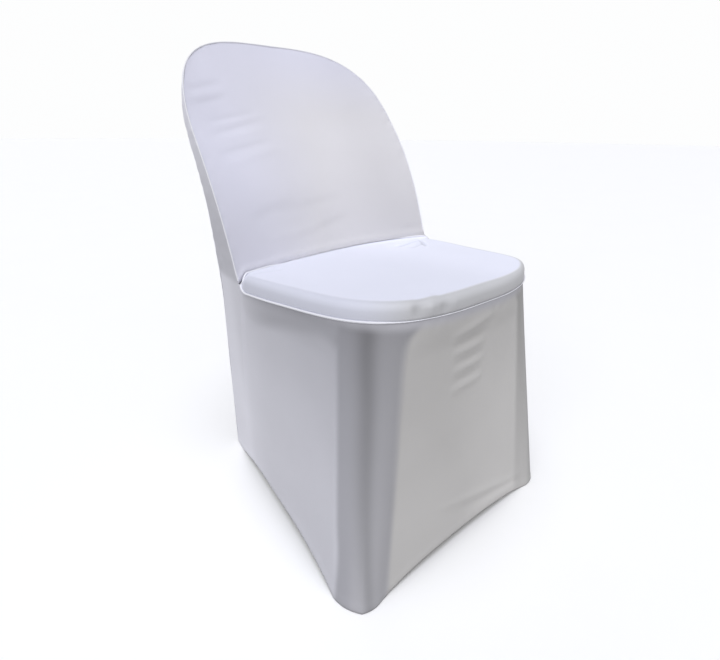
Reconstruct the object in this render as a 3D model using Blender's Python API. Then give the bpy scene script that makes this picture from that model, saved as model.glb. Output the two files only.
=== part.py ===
"""Fitted stretch cover: a closed hood over the back, a seat panel and a skirt that reaches the floor.

Every sewn piece is a thin sheet of knit cloth in the shape that it hangs in when it is stretched in place.
The seat faces -Y, up is +Z, and the origin is on the floor under the middle of the bounding box.
"""

from collections import namedtuple
import math

import bmesh
import bpy
from mathutils import Matrix, Vector

# Cloth and seams, in metres.
CLOTH = 0.0018
SEAM_GAP = 0.0006
LEAST_OPENING = 0.35
MOST_LEAN = 1.7

# The whole cover is set back by this much, so that the origin lies under its middle.
MIDDLE_Y = 0.0657

# Back: a round-topped shell that is hollow towards the sitter.
BACK_HALF_WIDTH = 0.228
BACK_HOLLOW = 0.036
ROUND_START_Z = 0.618
TOP_Z = 0.8325
SQUARENESS_LEFT = 3.5
SQUARENESS_RIGHT = 3.1
SEAM_Z = 0.447
GUSSET_TIP_Z = 0.760
Level = namedtuple("Level", "z inside_y gusset_depth middle_depth spread")
BACK_LEVELS = (
    Level(0.447, 0.1525, 0.080, 0.047, 0.200),
    Level(0.520, 0.1790, 0.061, 0.030, 0.150),
    Level(0.580, 0.2060, 0.045, 0.022, 0.110),
    Level(0.640, 0.2410, 0.035, 0.020, 0.070),
    Level(0.700, 0.2830, 0.022, 0.020, 0.035),
    Level(0.760, 0.3200, 0.000, 0.017, 0.016),
    Level(0.8325, 0.3640, 0.000, 0.012, 0.014),
)
BACK_ROWS = (0.447, 0.480, 0.515, 0.550, 0.585, 0.610, 0.632, 0.652, 0.672, 0.695, 0.725, 0.760)
CAP_ROWS = (0.30, 0.58, 0.80, 0.93, 1.0)
LEAST_STEP = 0.0035
BACK_COLUMNS = 16
EDGE_CROWDING = 0.2

# Rear corner of the skirt, from the seat down to the rear feet.
Corner = namedtuple("Corner", "z x y")
REAR_CORNER = (
    Corner(0.000, 0.2125, 0.271),
    Corner(0.080, 0.2150, 0.257),
    Corner(0.160, 0.2174, 0.243),
    Corner(0.240, 0.2198, 0.230),
    Corner(0.320, 0.2222, 0.215),
    Corner(0.400, 0.2246, 0.201),
    Corner(0.447, 0.2265, 0.197),
)

# Seat: the lip is the seam line that stands proud of the skirt, seen from above on the left half.
Plan = namedtuple("Plan", "x y")
LIP_PLAN = (
    Plan(0.2265, 0.117),
    Plan(0.2270, 0.085),
    Plan(0.2210, 0.030),
    Plan(0.2125, -0.020),
    Plan(0.2035, -0.070),
    Plan(0.1920, -0.116),
    Plan(0.1780, -0.148),
    Plan(0.1570, -0.176),
    Plan(0.1280, -0.198),
    Plan(0.0900, -0.211),
    Plan(0.0500, -0.217),
    Plan(0.0000, -0.218),
)
RIGHT_CORNER_SWELL = 0.007
RIGHT_CORNER_PLACE = 6.8
RIGHT_CORNER_REACH = 3.0
RIGHT_LIP_LIFT = 0.017
LIP_FRONT_Z = 0.457
LIP_FRONT_Y = -0.2085
LIP_FALL = 0.0822
LIP_RISE_REACH = 0.030
LIP_HEIGHT = 0.004
LIP_STEP = 0.0012
LIP_CLEAR = 0.0020
LIP_END_PLACES = 0.4
LOOK_AHEAD = 0.05
SEAT_TOP_FRONT_Z = 0.4815
SEAT_TOP_FALL = 0.070
SEAT_MIDDLE = Plan(0.0, -0.030)
SEAT_RINGS = (0.35, 0.62)
SEAT_EDGE_RINGS = (0.0280, 0.0170, 0.0090, 0.0035, 0.0)
SEAT_ROUND = 0.028
SEAT_ROUND_POWER = 2.2
SEAM_Z_LEFT = 0.452
SEAM_Z_RIGHT = 0.462
SEAM_DIP = 0.011
SEAM_DIP_REACH = 0.020

# Skirt: its plan on the floor, on the left half, beside the same stations along the lip.
Station = namedtuple("Station", "name lip_place floor_x floor_y steps")
STATIONS = (
    Station("seat corner", 0.0, 0.2200, 0.200, 7),
    Station("side of the leg", 5.0, 0.2520, -0.186, 3),
    Station("leg corner", 6.6, 0.2320, -0.2345, 3),
    Station("front of the leg", 8.0, 0.1900, -0.2365, 7),
    Station("middle of the front", 11.0, 0.0, -0.2340, 0),
)
CORNER_STEPS = 4
LEG_CORNER_BULGE = 0.004
BULGE_SPILL = 0.4
PANEL_SINK = 0.0045
SIDE_SINK_POWER = 4
FRONT_SINK_POWER = 6
APRON_FROM = 0.04
APRON_SHARE = 0.10
SIDE_HEM_RISE = 0.0265
FRONT_HEM_RISE = 0.0175
REAR_HEM_RISE = 0.028
HEM_TIGHTNESS = 3.2
HEM_RISE_POWER = 6
FOOT_HOLD = 0.038
REAR_BEND_SHARE = 0.25
SKIRT_ROWS = (
    0.0, 0.022, 0.042, 0.061, 0.081, 0.101, 0.121, 0.141, 0.161, 0.181, 0.201, 0.221, 0.241, 0.261,
    0.281, 0.305, 0.340, 0.400, 0.480, 0.570, 0.670, 0.770, 0.860, 0.930, 0.970, 1.0,
)

# Folds: soft ridges (positive height) and troughs (negative) from one end to the other.
Fold = namedtuple("Fold", "piece start end half_width height")
FRONT, BACK, SEAT, SKIRT = 1, 2, 3, 4
FOLD_FADE = 0.6
FOLDS = (
    Fold(SKIRT, (-0.060, -0.216, 0.418), (0.034, -0.216, 0.446), 0.0085, 0.0034),
    Fold(SKIRT, (-0.050, -0.217, 0.390), (0.030, -0.217, 0.398), 0.0085, 0.0030),
    Fold(SKIRT, (-0.048, -0.218, 0.361), (0.028, -0.218, 0.369), 0.0080, 0.0026),
    Fold(SKIRT, (-0.046, -0.219, 0.328), (0.026, -0.219, 0.337), 0.0085, 0.0026),
    Fold(SKIRT, (-0.020, -0.232, 0.040), (0.180, -0.232, 0.044), 0.0140, 0.0030),
    Fold(SKIRT, (-0.060, -0.231, 0.020), (0.060, -0.230, 0.080), 0.0140, 0.0022),
    Fold(SEAT, (-0.070, -0.160, 0.480), (-0.108, -0.222, 0.462), 0.0100, -0.0030),
    Fold(SEAT, (-0.088, -0.150, 0.480), (-0.122, -0.205, 0.466), 0.0090, 0.0020),
    Fold(FRONT, (-0.175, 0.222, 0.643), (-0.075, 0.250, 0.668), 0.0120, -0.0034),
    Fold(FRONT, (-0.170, 0.232, 0.665), (-0.080, 0.262, 0.690), 0.0120, 0.0026),
    Fold(FRONT, (-0.150, 0.262, 0.705), (-0.060, 0.280, 0.712), 0.0110, -0.0018),
    Fold(FRONT, (-0.180, 0.205, 0.618), (-0.070, 0.232, 0.638), 0.0120, 0.0022),
)

# Foot pockets: corner patches flat on the floor.
POCKET_SIDE = 0.040
POCKET_INSET = 0.0042
POCKET_FRONT_INSET = 0.0024
POCKET_SPLAY = 0.002
POCKET_ROUND = 0.006

# Looks: the colour that each piece of the same white knit has in its own light.
Sewn = namedtuple("Sewn", "piece name colour roughness")
SEWN_PIECES = (
    Sewn(FRONT, "back_front_panel", (0.80, 0.80, 0.85), 0.72),
    Sewn(BACK, "rear_panel", (0.76, 0.76, 0.81), 0.74),
    Sewn(SEAT, "seat_panel", (0.84, 0.85, 0.91), 0.70),
    Sewn(SKIRT, "skirt", (0.72, 0.72, 0.77), 0.74),
)
POCKET_COLOUR = (0.68, 0.68, 0.72)
POCKET_ROUGHNESS = 0.80
SHEEN = 0.25
SHARP_ANGLE = math.radians(50)


def read(table, at, column):
    """Read a column of a table at a place along its first column, on a smooth curve through its rows."""
    rows = [(row[0], getattr(row, column)) for row in table]
    return read_curve(rows, at)


def read_curve(rows, at):
    at = min(max(at, rows[0][0]), rows[-1][0])
    last = len(rows) - 1
    here = max(i for i in range(last) if rows[i][0] <= at or i == 0)
    (x0, y0), (x1, y1) = rows[here], rows[here + 1]
    slope_in = slope(rows, max(here - 1, 0), here + 1)
    slope_out = slope(rows, here, min(here + 2, last))
    span = x1 - x0
    t = (at - x0) / span
    rise = 3 * t * t - 2 * t ** 3
    return (y0 + (y1 - y0) * rise
            + slope_in * span * (t ** 3 - 2 * t * t + t)
            + slope_out * span * (t ** 3 - t * t))


def slope(rows, low, high):
    return (rows[high][1] - rows[low][1]) / (rows[high][0] - rows[low][0])


def soft(t):
    """Ease from 0 to 1."""
    t = min(max(t, 0.0), 1.0)
    return t * t * (3 - 2 * t)


def squareness(side):
    """The left shoulder of the back is squarer than the right one."""
    return SQUARENESS_LEFT if side < 0 else SQUARENESS_RIGHT


def half_width(z, side):
    """Half the width of the back at a height, on its left or right side."""
    if z <= SEAM_Z:
        return read(REAR_CORNER, z, "x")
    if z <= ROUND_START_Z:
        lift = soft((z - SEAM_Z) / (ROUND_START_Z - SEAM_Z))
        return REAR_CORNER[-1].x + (BACK_HALF_WIDTH - REAR_CORNER[-1].x) * lift
    share = (z - ROUND_START_Z) / (TOP_Z - ROUND_START_Z)
    power = squareness(side)
    return BACK_HALF_WIDTH * max(1 - share ** power, 0.0) ** (1 / power)


def arch_z(x):
    """Height of the round top edge over a place across the back."""
    share = min(abs(x) / BACK_HALF_WIDTH, 1.0)
    power = squareness(x)
    rise = (1 - share ** power) ** (1 / power)
    return ROUND_START_Z + (TOP_Z - ROUND_START_Z) * rise


def inside_y(x, z):
    """The inside of the back, hollow towards the sitter."""
    return read(BACK_LEVELS, z, "inside_y") - BACK_HOLLOW * (x / BACK_HALF_WIDTH) ** 2


def outside_y(x, z):
    """The outside of the back, which the cloth spans from one gusset to the other."""
    share = abs(x) / BACK_HALF_WIDTH
    over = max(z - ROUND_START_Z, 0.0) / (TOP_Z - ROUND_START_Z)
    power = squareness(x)
    reach = (share ** power + over ** power) ** (1 / power)
    from_edge = max(1 - reach, 0.0) * BACK_HALF_WIDTH
    if z <= GUSSET_TIP_Z:
        from_edge = min(from_edge, half_width(z, x) - abs(x))
    spread = read(BACK_LEVELS, z, "spread")
    lift = math.sqrt(max(1 - (1 - min(from_edge / spread, 1.0)) ** 2, 0.0))
    edge = read(BACK_LEVELS, z, "gusset_depth")
    middle = read(BACK_LEVELS, z, "middle_depth")
    return inside_y(x, z) + edge + (middle - edge) * lift


def across(count):
    """Places across the back from -1 to 1, closer together towards both edges."""
    even = [2 * i / count - 1 for i in range(count + 1)]
    return [(1 + EDGE_CROWDING) * t - EDGE_CROWDING * t ** 3 for t in even]


def seat_seam_z(x):
    """The seam between seat and back is drawn up towards the right and dips at its left end."""
    share = soft(0.5 + 0.5 * x / REAR_CORNER[-1].x)
    dip = SEAM_DIP * (1 - soft((REAR_CORNER[-1].x + x) / SEAM_DIP_REACH))
    return SEAM_Z_LEFT + (SEAM_Z_RIGHT - SEAM_Z_LEFT) * share - dip


def lip_point(place):
    """A point of the seat's lip; place counts the rows of LIP_PLAN from the left end to the right end."""
    last = len(LIP_PLAN) - 1
    side = -1 if place <= last else 1
    along = place if place <= last else 2 * last - place
    xs = [(i, row.x) for i, row in enumerate(LIP_PLAN)]
    ys = [(i, row.y) for i, row in enumerate(LIP_PLAN)]
    x = side * max(read_curve(xs, along), 0.0)
    y = read_curve(ys, along)
    lift = 0.0
    if side > 0:
        swell = 1 - soft(abs(along - RIGHT_CORNER_PLACE) / RIGHT_CORNER_REACH)
        x += RIGHT_CORNER_SWELL * swell
        y -= RIGHT_CORNER_SWELL * swell
        lift = RIGHT_LIP_LIFT * math.sin(math.pi * min(along / RIGHT_CORNER_PLACE, 1.0))
    z = LIP_FRONT_Z - LIP_FALL * (y - LIP_FRONT_Y) + lift
    to_end = LIP_PLAN[0].y - y
    corner_z = seat_seam_z(x)
    near = 1 - soft(to_end / LIP_RISE_REACH)
    return Vector((x, y, z + (corner_z - z) * near))


def lip_places():
    """Every column of the skirt along the lip, as (place, floor x, floor y, span number, share of span)."""
    last = len(LIP_PLAN) - 1
    half = []
    for number, (one, two) in enumerate(zip(STATIONS, STATIONS[1:])):
        for step in range(one.steps):
            t = step / one.steps
            place = one.lip_place + (two.lip_place - one.lip_place) * t
            x = one.floor_x + (two.floor_x - one.floor_x) * t
            y = one.floor_y + (two.floor_y - one.floor_y) * t
            if number in (1, 2):
                swell = LEG_CORNER_BULGE * math.sin(math.pi * t)
                x += swell if number == 1 else BULGE_SPILL * swell
                y -= swell if number == 2 else BULGE_SPILL * swell
            half.append((place, -x, y, number, t))
    end = STATIONS[-1]
    middle = [(end.lip_place, 0.0, end.floor_y, 3, 1.0)]
    mirrored = [(2 * last - p, -x, y, n, t) for p, x, y, n, t in reversed(half)]
    return half + middle + mirrored


def hem_rise(share, most):
    """The hem is held down at both ends of a span and runs nearly straight between them."""
    share = min(max(share, 0.0), 1.0)
    return most * (1 - abs(2 * share - 1) ** HEM_TIGHTNESS)


def rear_hem_share(t):
    """Share of the free rear hem at a share of the way between the two rear feet."""
    width = 2 * REAR_CORNER[0].x
    return (t * width - FOOT_HOLD) / (width - 2 * FOOT_HOLD)


def wall_column(top, floor, rise, sink, outward):
    """Points of the skirt from its top edge down to the hem."""
    points = []
    for share in SKIRT_ROWS:
        z = top.z + (rise - top.z) * share
        along = (top.z - z) / top.z
        spot = top.lerp(floor, along)
        hollow = sink * soft((share - APRON_FROM) / APRON_SHARE) * (1 - share ** 2)
        spot -= outward * hollow
        spot.z = z
        points.append(spot)
    return points


def rear_corner_point(side, z):
    return Vector((side * read(REAR_CORNER, z, "x"), read(REAR_CORNER, z, "y"), z))


def corner_section(side):
    """Skirt columns between the rear corner and the end of the lip, from back to front."""
    columns = []
    lip_end = lip_point(0 if side < 0 else 2 * (len(LIP_PLAN) - 1))
    floor_end = Vector((side * STATIONS[0].floor_x, STATIONS[0].floor_y, 0.0))
    for step in range(CORNER_STEPS):
        t = step / CORNER_STEPS
        column = []
        for share in SKIRT_ROWS:
            corner_z = SEAM_Z * (1 - share)
            corner = rear_corner_point(side, corner_z)
            front = lip_end.lerp(floor_end, share)
            spot = corner.lerp(front, t)
            floor_y = REAR_CORNER[0].y + (STATIONS[0].floor_y - REAR_CORNER[0].y) * t
            spot.z += hem_rise(side_share(floor_y), SIDE_HEM_RISE) * share ** HEM_RISE_POWER
            column.append(spot)
        columns.append(column)
    return columns


def side_share(y):
    """Share of the side's hem from the rear foot to the front foot."""
    front, back = STATIONS[1].floor_y, REAR_CORNER[0].y - FOOT_HOLD
    return min(max((back - y) / (back - front), 0.0), 1.0)


def skirt_columns():
    left = corner_section(-1)
    right = corner_section(1)
    middle = []
    places = lip_places()
    for place, x, y, span, t in places:
        top = lip_point(place)
        ends = len(LIP_PLAN) - 1
        from_end = min(place, 2 * ends - place)
        near = min(from_end / LIP_END_PLACES, 1.0)
        ahead = lip_point(min(place + LOOK_AHEAD, 2 * ends))
        behind = lip_point(max(place - LOOK_AHEAD, 0))
        run = ahead - behind
        outward = Vector((run.y, -run.x, 0.0)).normalized()
        if outward.dot(Vector((top.x - SEAT_MIDDLE.x, top.y - SEAT_MIDDLE.y, 0.0))) < 0:
            outward = -outward
        top = top - outward * LIP_STEP * near
        top.z -= LIP_CLEAR * near
        if span == 0:
            rise = hem_rise(side_share(y), SIDE_HEM_RISE)
            sink = PANEL_SINK * (1 - abs(2 * t - 1) ** SIDE_SINK_POWER)
        elif span == 3:
            rise = hem_rise(t * 0.5, FRONT_HEM_RISE)
            sink = PANEL_SINK * (1 - (1 - t) ** FRONT_SINK_POWER)
        else:
            rise, sink = 0.0, 0.0
        floor = Vector((x, y, 0.0))
        facing = Vector((math.copysign(1, x), 0, 0)) if span == 0 else Vector((0, -1, 0))
        middle.append(wall_column(top, floor, rise, sink, facing))
    return left + middle + right[::-1]


def gusset_columns(side, first_row):
    """Rows of a gusset from the seat up to its tip, between the rear corner and the front seam."""
    columns = [[point] for point in first_row]
    for z in BACK_ROWS[1:]:
        x = side * half_width(z, side)
        for step, column in enumerate(columns):
            t = step / CORNER_STEPS
            back_y = outside_y(x, z)
            front_y = inside_y(x, z)
            column.append(Vector((x, back_y + (front_y - back_y) * t, z)))
    return columns


def back_rows(surface, first_row):
    """Rows of the inside or outside of the back, from the first one up to the round top edge."""
    places = across(BACK_COLUMNS)
    rows = [first_row]
    for z in BACK_ROWS[1:]:
        xs = [half_width(z, u) * u for u in places]
        rows.append([Vector((x, surface(x, z), z)) for x in xs])
    for share in CAP_ROWS:
        row = []
        for u in places:
            x = half_width(GUSSET_TIP_Z, u) * u
            z = GUSSET_TIP_Z + (arch_z(x) - GUSSET_TIP_Z) * share
            on_edge = arch_z(x) - z < LEAST_STEP
            z = arch_z(x) if on_edge else z
            row.append(Vector((x, inside_y(x, z) if on_edge else surface(x, z), z)))
        rows.append(row)
    return rows


def inside_first_row():
    width = REAR_CORNER[-1].x
    row = []
    for u in across(BACK_COLUMNS):
        x = width * u
        z = seat_seam_z(x)
        row.append(Vector((x, inside_y(x, z), z)))
    row[0] = lip_point(0)
    row[-1] = lip_point(2 * (len(LIP_PLAN) - 1))
    return row


def outside_wall_rows():
    """The rear panel below the back, between the two rear corners."""
    rows = []
    for share in SKIRT_ROWS:
        z = SEAM_Z * (1 - share)
        left = rear_corner_point(-1, z)
        right = rear_corner_point(1, z)
        row = []
        for u in across(BACK_COLUMNS):
            t = 0.5 + 0.5 * u
            spot = left.lerp(right, t)
            seat_depth = outside_y(REAR_CORNER[-1].x * u, SEAM_Z) - REAR_CORNER[-1].y
            spot.y += seat_depth * (1 - soft(share / REAR_BEND_SHARE))
            sink = PANEL_SINK * math.sqrt(math.sin(math.pi * t)) * (1 - share ** 2)
            spot.y -= sink * soft(share / REAR_BEND_SHARE)
            spot.z += hem_rise(rear_hem_share(t), REAR_HEM_RISE) * share ** HEM_RISE_POWER
            row.append(spot)
        rows.append(row)
    return rows


def seat_boundary(seam_row):
    """The edge of the seat: along the lip from left to right, then back along the seam with the back."""
    lip = [(lip_point(place), True) for place, *_ in lip_places()]
    seam = [(point, False) for point in reversed(seam_row[1:-1])]
    return lip + seam


def seat_top_z(x, y):
    fall = SEAT_TOP_FALL * (y - LIP_FRONT_Y)
    return SEAT_TOP_FRONT_Z - fall


def seat_rings(boundary):
    middle = Vector((SEAT_MIDDLE.x, SEAT_MIDDLE.y, 0.0))
    rings = []
    for reach, inset in [(r, None) for r in SEAT_RINGS] + [(None, d) for d in SEAT_EDGE_RINGS]:
        ring = []
        for edge, on_lip in boundary:
            near_end = 1.0
            if on_lip:
                near_end = soft((LIP_PLAN[0].y - edge.y) / LIP_RISE_REACH)
            top = edge.z + LIP_HEIGHT * near_end * on_lip
            rim = Vector((edge.x, edge.y, 0.0))
            from_edge = (rim - middle).length * (1 - reach) if inset is None else inset
            spot = rim.lerp(middle, from_edge / (rim - middle).length)
            part = max(1 - from_edge / SEAT_ROUND, 0.0)
            round_fall = 1 - (1 - part ** SEAT_ROUND_POWER) ** (1 / SEAT_ROUND_POWER)
            fall = round_fall * near_end + part * part * (1 - near_end) if on_lip else part * part
            spot.z = seat_top_z(spot.x, spot.y) - (seat_top_z(edge.x, edge.y) - top) * fall
            ring.append(spot)
        rings.append(ring)
    rings.append([edge.copy() for edge, _ in boundary])
    return rings


def add_grid(bm, rows, piece, closed=False):
    """Join rows of points with faces and mark them with their piece."""
    mark = bm.faces.layers.int["piece"]
    verts = [[bm.verts.new(point) for point in row] for row in rows]
    for low, high in zip(verts, verts[1:]):
        count = len(low) if closed else len(low) - 1
        for i in range(count):
            j = (i + 1) % len(low)
            face = bm.faces.new((low[i], low[j], high[j], high[i]))
            face[mark] = piece
    return verts


def whole_cover():
    """The outer surface of every sewn piece, with the seams shared, before the cloth has a thickness."""
    bm = bmesh.new()
    mark = bm.faces.layers.int.new("piece")
    columns = skirt_columns()
    add_grid(bm, columns, SKIRT)
    left_first = [column[0] for column in columns[:CORNER_STEPS + 1]]
    right_first = [column[0] for column in columns[::-1][:CORNER_STEPS + 1]]
    for side, first in ((-1, left_first), (1, right_first)):
        gusset = gusset_columns(side, first)
        add_grid(bm, [column[:-1] for column in gusset], SKIRT)
        add_grid(bm, [column[-2:] for column in gusset], BACK)
    wall = outside_wall_rows()
    add_grid(bm, wall, BACK)
    add_grid(bm, back_rows(outside_y, wall[0]), BACK)
    seam_row = inside_first_row()
    add_grid(bm, back_rows(inside_y, seam_row), FRONT)
    rings = seat_rings(seat_boundary(seam_row))
    verts = add_grid(bm, rings, SEAT, closed=True)
    pole = bm.verts.new((SEAT_MIDDLE.x, SEAT_MIDDLE.y, seat_top_z(*SEAT_MIDDLE)))
    first = verts[0]
    for i, vert in enumerate(first):
        face = bm.faces.new((pole, vert, first[(i + 1) % len(first)]))
        face[mark] = SEAT
    bmesh.ops.remove_doubles(bm, verts=bm.verts[:], dist=0.00005)
    bmesh.ops.dissolve_degenerate(bm, edges=bm.edges[:], dist=0.00002)
    bmesh.ops.recalc_face_normals(bm, faces=bm.faces[:])
    bm.normal_update()
    return bm


def press_folds(bm):
    """Raise the ridges and press in the troughs, each fading out at its ends and sides."""
    mark = bm.faces.layers.int["piece"]
    moves = {}
    for vert in bm.verts:
        pieces = {face[mark] for face in vert.link_faces}
        if len(pieces) > 1 or vert.is_boundary:
            continue
        for fold in FOLDS:
            if fold.piece not in pieces:
                continue
            start, end = Vector(fold.start), Vector(fold.end)
            run = end - start
            along = (vert.co - start).dot(run) / run.length_squared
            if not 0.0 < along < 1.0:
                continue
            off = (vert.co - start - run * along).length / fold.half_width
            push = fold.height * math.exp(-off * off) * math.sin(math.pi * along) ** FOLD_FADE
            moves[vert] = moves.get(vert, Vector()) + vert.normal * push
    for vert, move in moves.items():
        vert.co += move
    bm.normal_update()


def corner_lean(vert, mark):
    """The way through the cloth where three pieces meet, so that each keeps its thickness there."""
    normals = {}
    for face in vert.link_faces:
        normals.setdefault(face[mark], Vector())
        normals[face[mark]] += face.normal * face.calc_area()
    if len(normals) != 3:
        return None
    planes = Matrix([normal.normalized() for normal in normals.values()])
    if abs(planes.determinant()) < LEAST_OPENING:
        return None
    return planes.inverted() @ Vector((-CLOTH, -CLOTH, -CLOTH))


def mark_lean(bm):
    """Note at every vertex the way through the cloth and the gap there, shared by both pieces of a seam."""
    mark = bm.faces.layers.int["piece"]
    lean = bm.verts.layers.float_vector.new("lean")
    gap = bm.verts.layers.float.new("gap")
    order = bm.verts.layers.int.new("order")
    for number, vert in enumerate(bm.verts):
        vert[order] = number + 1
        stretch = min(vert.calc_shell_factor(), MOST_LEAN)
        vert[lean] = corner_lean(vert, mark) or -vert.normal * CLOTH * stretch
        vert[gap] = SEAM_GAP / min([opening(edge, mark) for edge in vert.link_edges])


def opening(edge, mark):
    """How far two sewn pieces part for each step away from their seam: 1 where they lie in one plane."""
    if len(edge.link_faces) < 2:
        return 1.0
    one, two = edge.link_faces
    if one[mark] == two[mark]:
        return 1.0
    return max(math.cos(0.5 * one.normal.angle(two.normal)), LEAST_OPENING)


def draw_in_edges(bm):
    """Part the pieces at their seams by moving each edge a little into its own piece."""
    gap = bm.verts.layers.float["gap"]
    moves = {}
    for edge in bm.edges:
        if not edge.is_boundary:
            continue
        face = edge.link_faces[0]
        run = (edge.verts[1].co - edge.verts[0].co).normalized()
        inward = face.normal.cross(run)
        if inward.dot(face.calc_center_median() - edge.verts[0].co) < 0:
            inward = -inward
        for vert in edge.verts:
            moves.setdefault(vert, []).append(inward)
    for vert, ways in moves.items():
        total = sum(ways, Vector())
        vert.co += total.normalized() * vert[gap] / 2


def split_rims(bm):
    """Split every face of the cut edges the same way on both sides of a seam."""
    order = bm.verts.layers.int["order"]
    for face in bm.faces[:]:
        outer = [vert for vert in face.verts if vert[order] > 0]
        inner = [vert for vert in face.verts if vert[order] < 0]
        if len(outer) == 2 and len(inner) == 2:
            high = max(outer, key=lambda vert: vert[order])
            low = max(inner, key=lambda vert: vert[order])
            bmesh.utils.face_split(face, high, low)


def cut_piece(cover, piece, name, material):
    """Take one sewn piece out of the cover and give its cloth a thickness."""
    bm = cover.copy()
    mark = bm.faces.layers.int["piece"]
    others = [face for face in bm.faces if face[mark] != piece]
    bmesh.ops.delete(bm, geom=others, context="FACES")
    draw_in_edges(bm)
    lean = bm.verts.layers.float_vector["lean"]
    order = bm.verts.layers.int["order"]
    made = bmesh.ops.extrude_face_region(bm, geom=bm.faces[:], use_keep_orig=True)
    for item in made["geom"]:
        if isinstance(item, bmesh.types.BMVert):
            item.co += item[lean]
            item[order] = -item[order]
    split_rims(bm)
    bmesh.ops.recalc_face_normals(bm, faces=bm.faces[:])
    return finish_object(bm, name, material)


def finish_object(bm, name, material):
    """Rest the lowest edge on the floor, centre the piece and make its object."""
    for vert in bm.verts:
        vert.co.z = max(vert.co.z, 0.0)
    bmesh.ops.translate(bm, verts=bm.verts[:], vec=(0.0, -MIDDLE_Y, 0.0))
    mesh = bpy.data.meshes.new(name)
    bm.to_mesh(mesh)
    bm.free()
    mesh.materials.append(material)
    mesh.shade_smooth()
    mesh.set_sharp_from_angle(angle=SHARP_ANGLE)
    thing = bpy.data.objects.new(name, mesh)
    bpy.context.collection.objects.link(thing)
    return thing


def make_pocket(name, corners, material):
    """A flat patch across one foot corner, lying on the floor inside the hem."""
    bm = bmesh.new()
    face = bm.faces.new([bm.verts.new((x, y, 0.0)) for x, y in corners])
    bmesh.ops.bevel(bm, geom=face.verts[:], offset=POCKET_ROUND, segments=3, affect="VERTICES", profile=0.5)
    made = bmesh.ops.extrude_face_region(bm, geom=bm.faces[:], use_keep_orig=True)
    raised = [item for item in made["geom"] if isinstance(item, bmesh.types.BMVert)]
    bmesh.ops.translate(bm, verts=raised, vec=(0.0, 0.0, CLOTH))
    bmesh.ops.recalc_face_normals(bm, faces=bm.faces[:])
    return finish_object(bm, name, material)


def pocket_corners(side, front):
    """Corner, end along the side and end along the front or rear of a pocket."""
    inset = POCKET_INSET
    if front:
        leg_side, tip, leg_front = STATIONS[1], STATIONS[2], STATIONS[3]
        corners = [
            (leg_side.floor_x - inset, leg_side.floor_y + POCKET_FRONT_INSET),
            (tip.floor_x - inset, tip.floor_y + inset),
            (leg_front.floor_x, leg_front.floor_y + inset),
        ]
    else:
        foot = REAR_CORNER[0]
        corners = [
            (foot.x - inset, foot.y - inset),
            (foot.x - inset + POCKET_SPLAY, foot.y - POCKET_SIDE),
            (foot.x - POCKET_SIDE, foot.y - inset),
        ]
    return [(side * x, y) for x, y in corners]


def cloth_material(name, colour, roughness):
    material = bpy.data.materials.new(name)
    material.use_nodes = True
    shader = material.node_tree.nodes["Principled BSDF"]
    shader.inputs["Base Color"].default_value = (*colour, 1.0)
    shader.inputs["Roughness"].default_value = roughness
    shader.inputs["Metallic"].default_value = 0.0
    shader.inputs["Sheen Weight"].default_value = SHEEN
    material.diffuse_color = (*colour, 1.0)
    return material


def clear_scene():
    for thing in list(bpy.data.objects):
        bpy.data.objects.remove(thing, do_unlink=True)


def main():
    clear_scene()
    cover = whole_cover()
    press_folds(cover)
    mark_lean(cover)
    for piece, name, colour, roughness in SEWN_PIECES:
        cut_piece(cover, piece, name, cloth_material(f"white knit of {name}", colour, roughness))
    cover.free()
    pocket_cloth = cloth_material("white knit of the pockets", POCKET_COLOUR, POCKET_ROUGHNESS)
    for end, front in (("front", True), ("rear", False)):
        for side_name, side in (("left", -1), ("right", 1)):
            make_pocket(f"foot_pocket_{end}_{side_name}", pocket_corners(side, front), pocket_cloth)


main()
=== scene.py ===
"""Looks of the fitted chair cover: sheets of white stretch knit, with their seams, hems, folds and puckers.

The pieces lie on the solids of the frame. The seat faces -Y and up is +Z.
"""

from collections import namedtuple
from functools import partial
import math

import bmesh
import bpy
from mathutils import Matrix, Vector, noise


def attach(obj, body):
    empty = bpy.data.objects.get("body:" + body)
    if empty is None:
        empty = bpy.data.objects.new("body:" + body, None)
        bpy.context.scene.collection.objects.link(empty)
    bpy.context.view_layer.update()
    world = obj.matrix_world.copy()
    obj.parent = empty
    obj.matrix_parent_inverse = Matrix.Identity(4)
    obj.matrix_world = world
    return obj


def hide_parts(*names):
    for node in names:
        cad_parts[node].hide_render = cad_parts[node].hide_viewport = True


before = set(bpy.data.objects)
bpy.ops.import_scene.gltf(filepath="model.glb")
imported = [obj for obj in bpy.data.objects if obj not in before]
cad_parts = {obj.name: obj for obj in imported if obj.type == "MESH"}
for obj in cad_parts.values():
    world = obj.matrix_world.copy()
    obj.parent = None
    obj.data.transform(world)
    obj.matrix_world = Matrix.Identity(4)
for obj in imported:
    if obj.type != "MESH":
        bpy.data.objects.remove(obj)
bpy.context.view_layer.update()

# Shape of the cover, in metres, as it is cut in the frame's own solids.
MIDDLE_Y = 0.0657
BACK_HALF_WIDTH = 0.228
BACK_HOLLOW = 0.036
ROUND_START_Z = 0.618
TOP_Z = 0.8325
SQUARENESS_LEFT = 3.5
SQUARENESS_RIGHT = 3.1
SEAM_Z = 0.447
GUSSET_TIP_Z = 0.760
Level = namedtuple("Level", "z inside_y gusset_depth middle_depth spread")
BACK_LEVELS = (
    Level(0.447, 0.1525, 0.080, 0.047, 0.200),
    Level(0.520, 0.1790, 0.061, 0.030, 0.150),
    Level(0.580, 0.2060, 0.045, 0.022, 0.110),
    Level(0.640, 0.2410, 0.035, 0.020, 0.070),
    Level(0.700, 0.2830, 0.022, 0.020, 0.035),
    Level(0.760, 0.3200, 0.000, 0.017, 0.016),
    Level(0.8325, 0.3640, 0.000, 0.012, 0.014),
)
Corner = namedtuple("Corner", "z x y")
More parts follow.
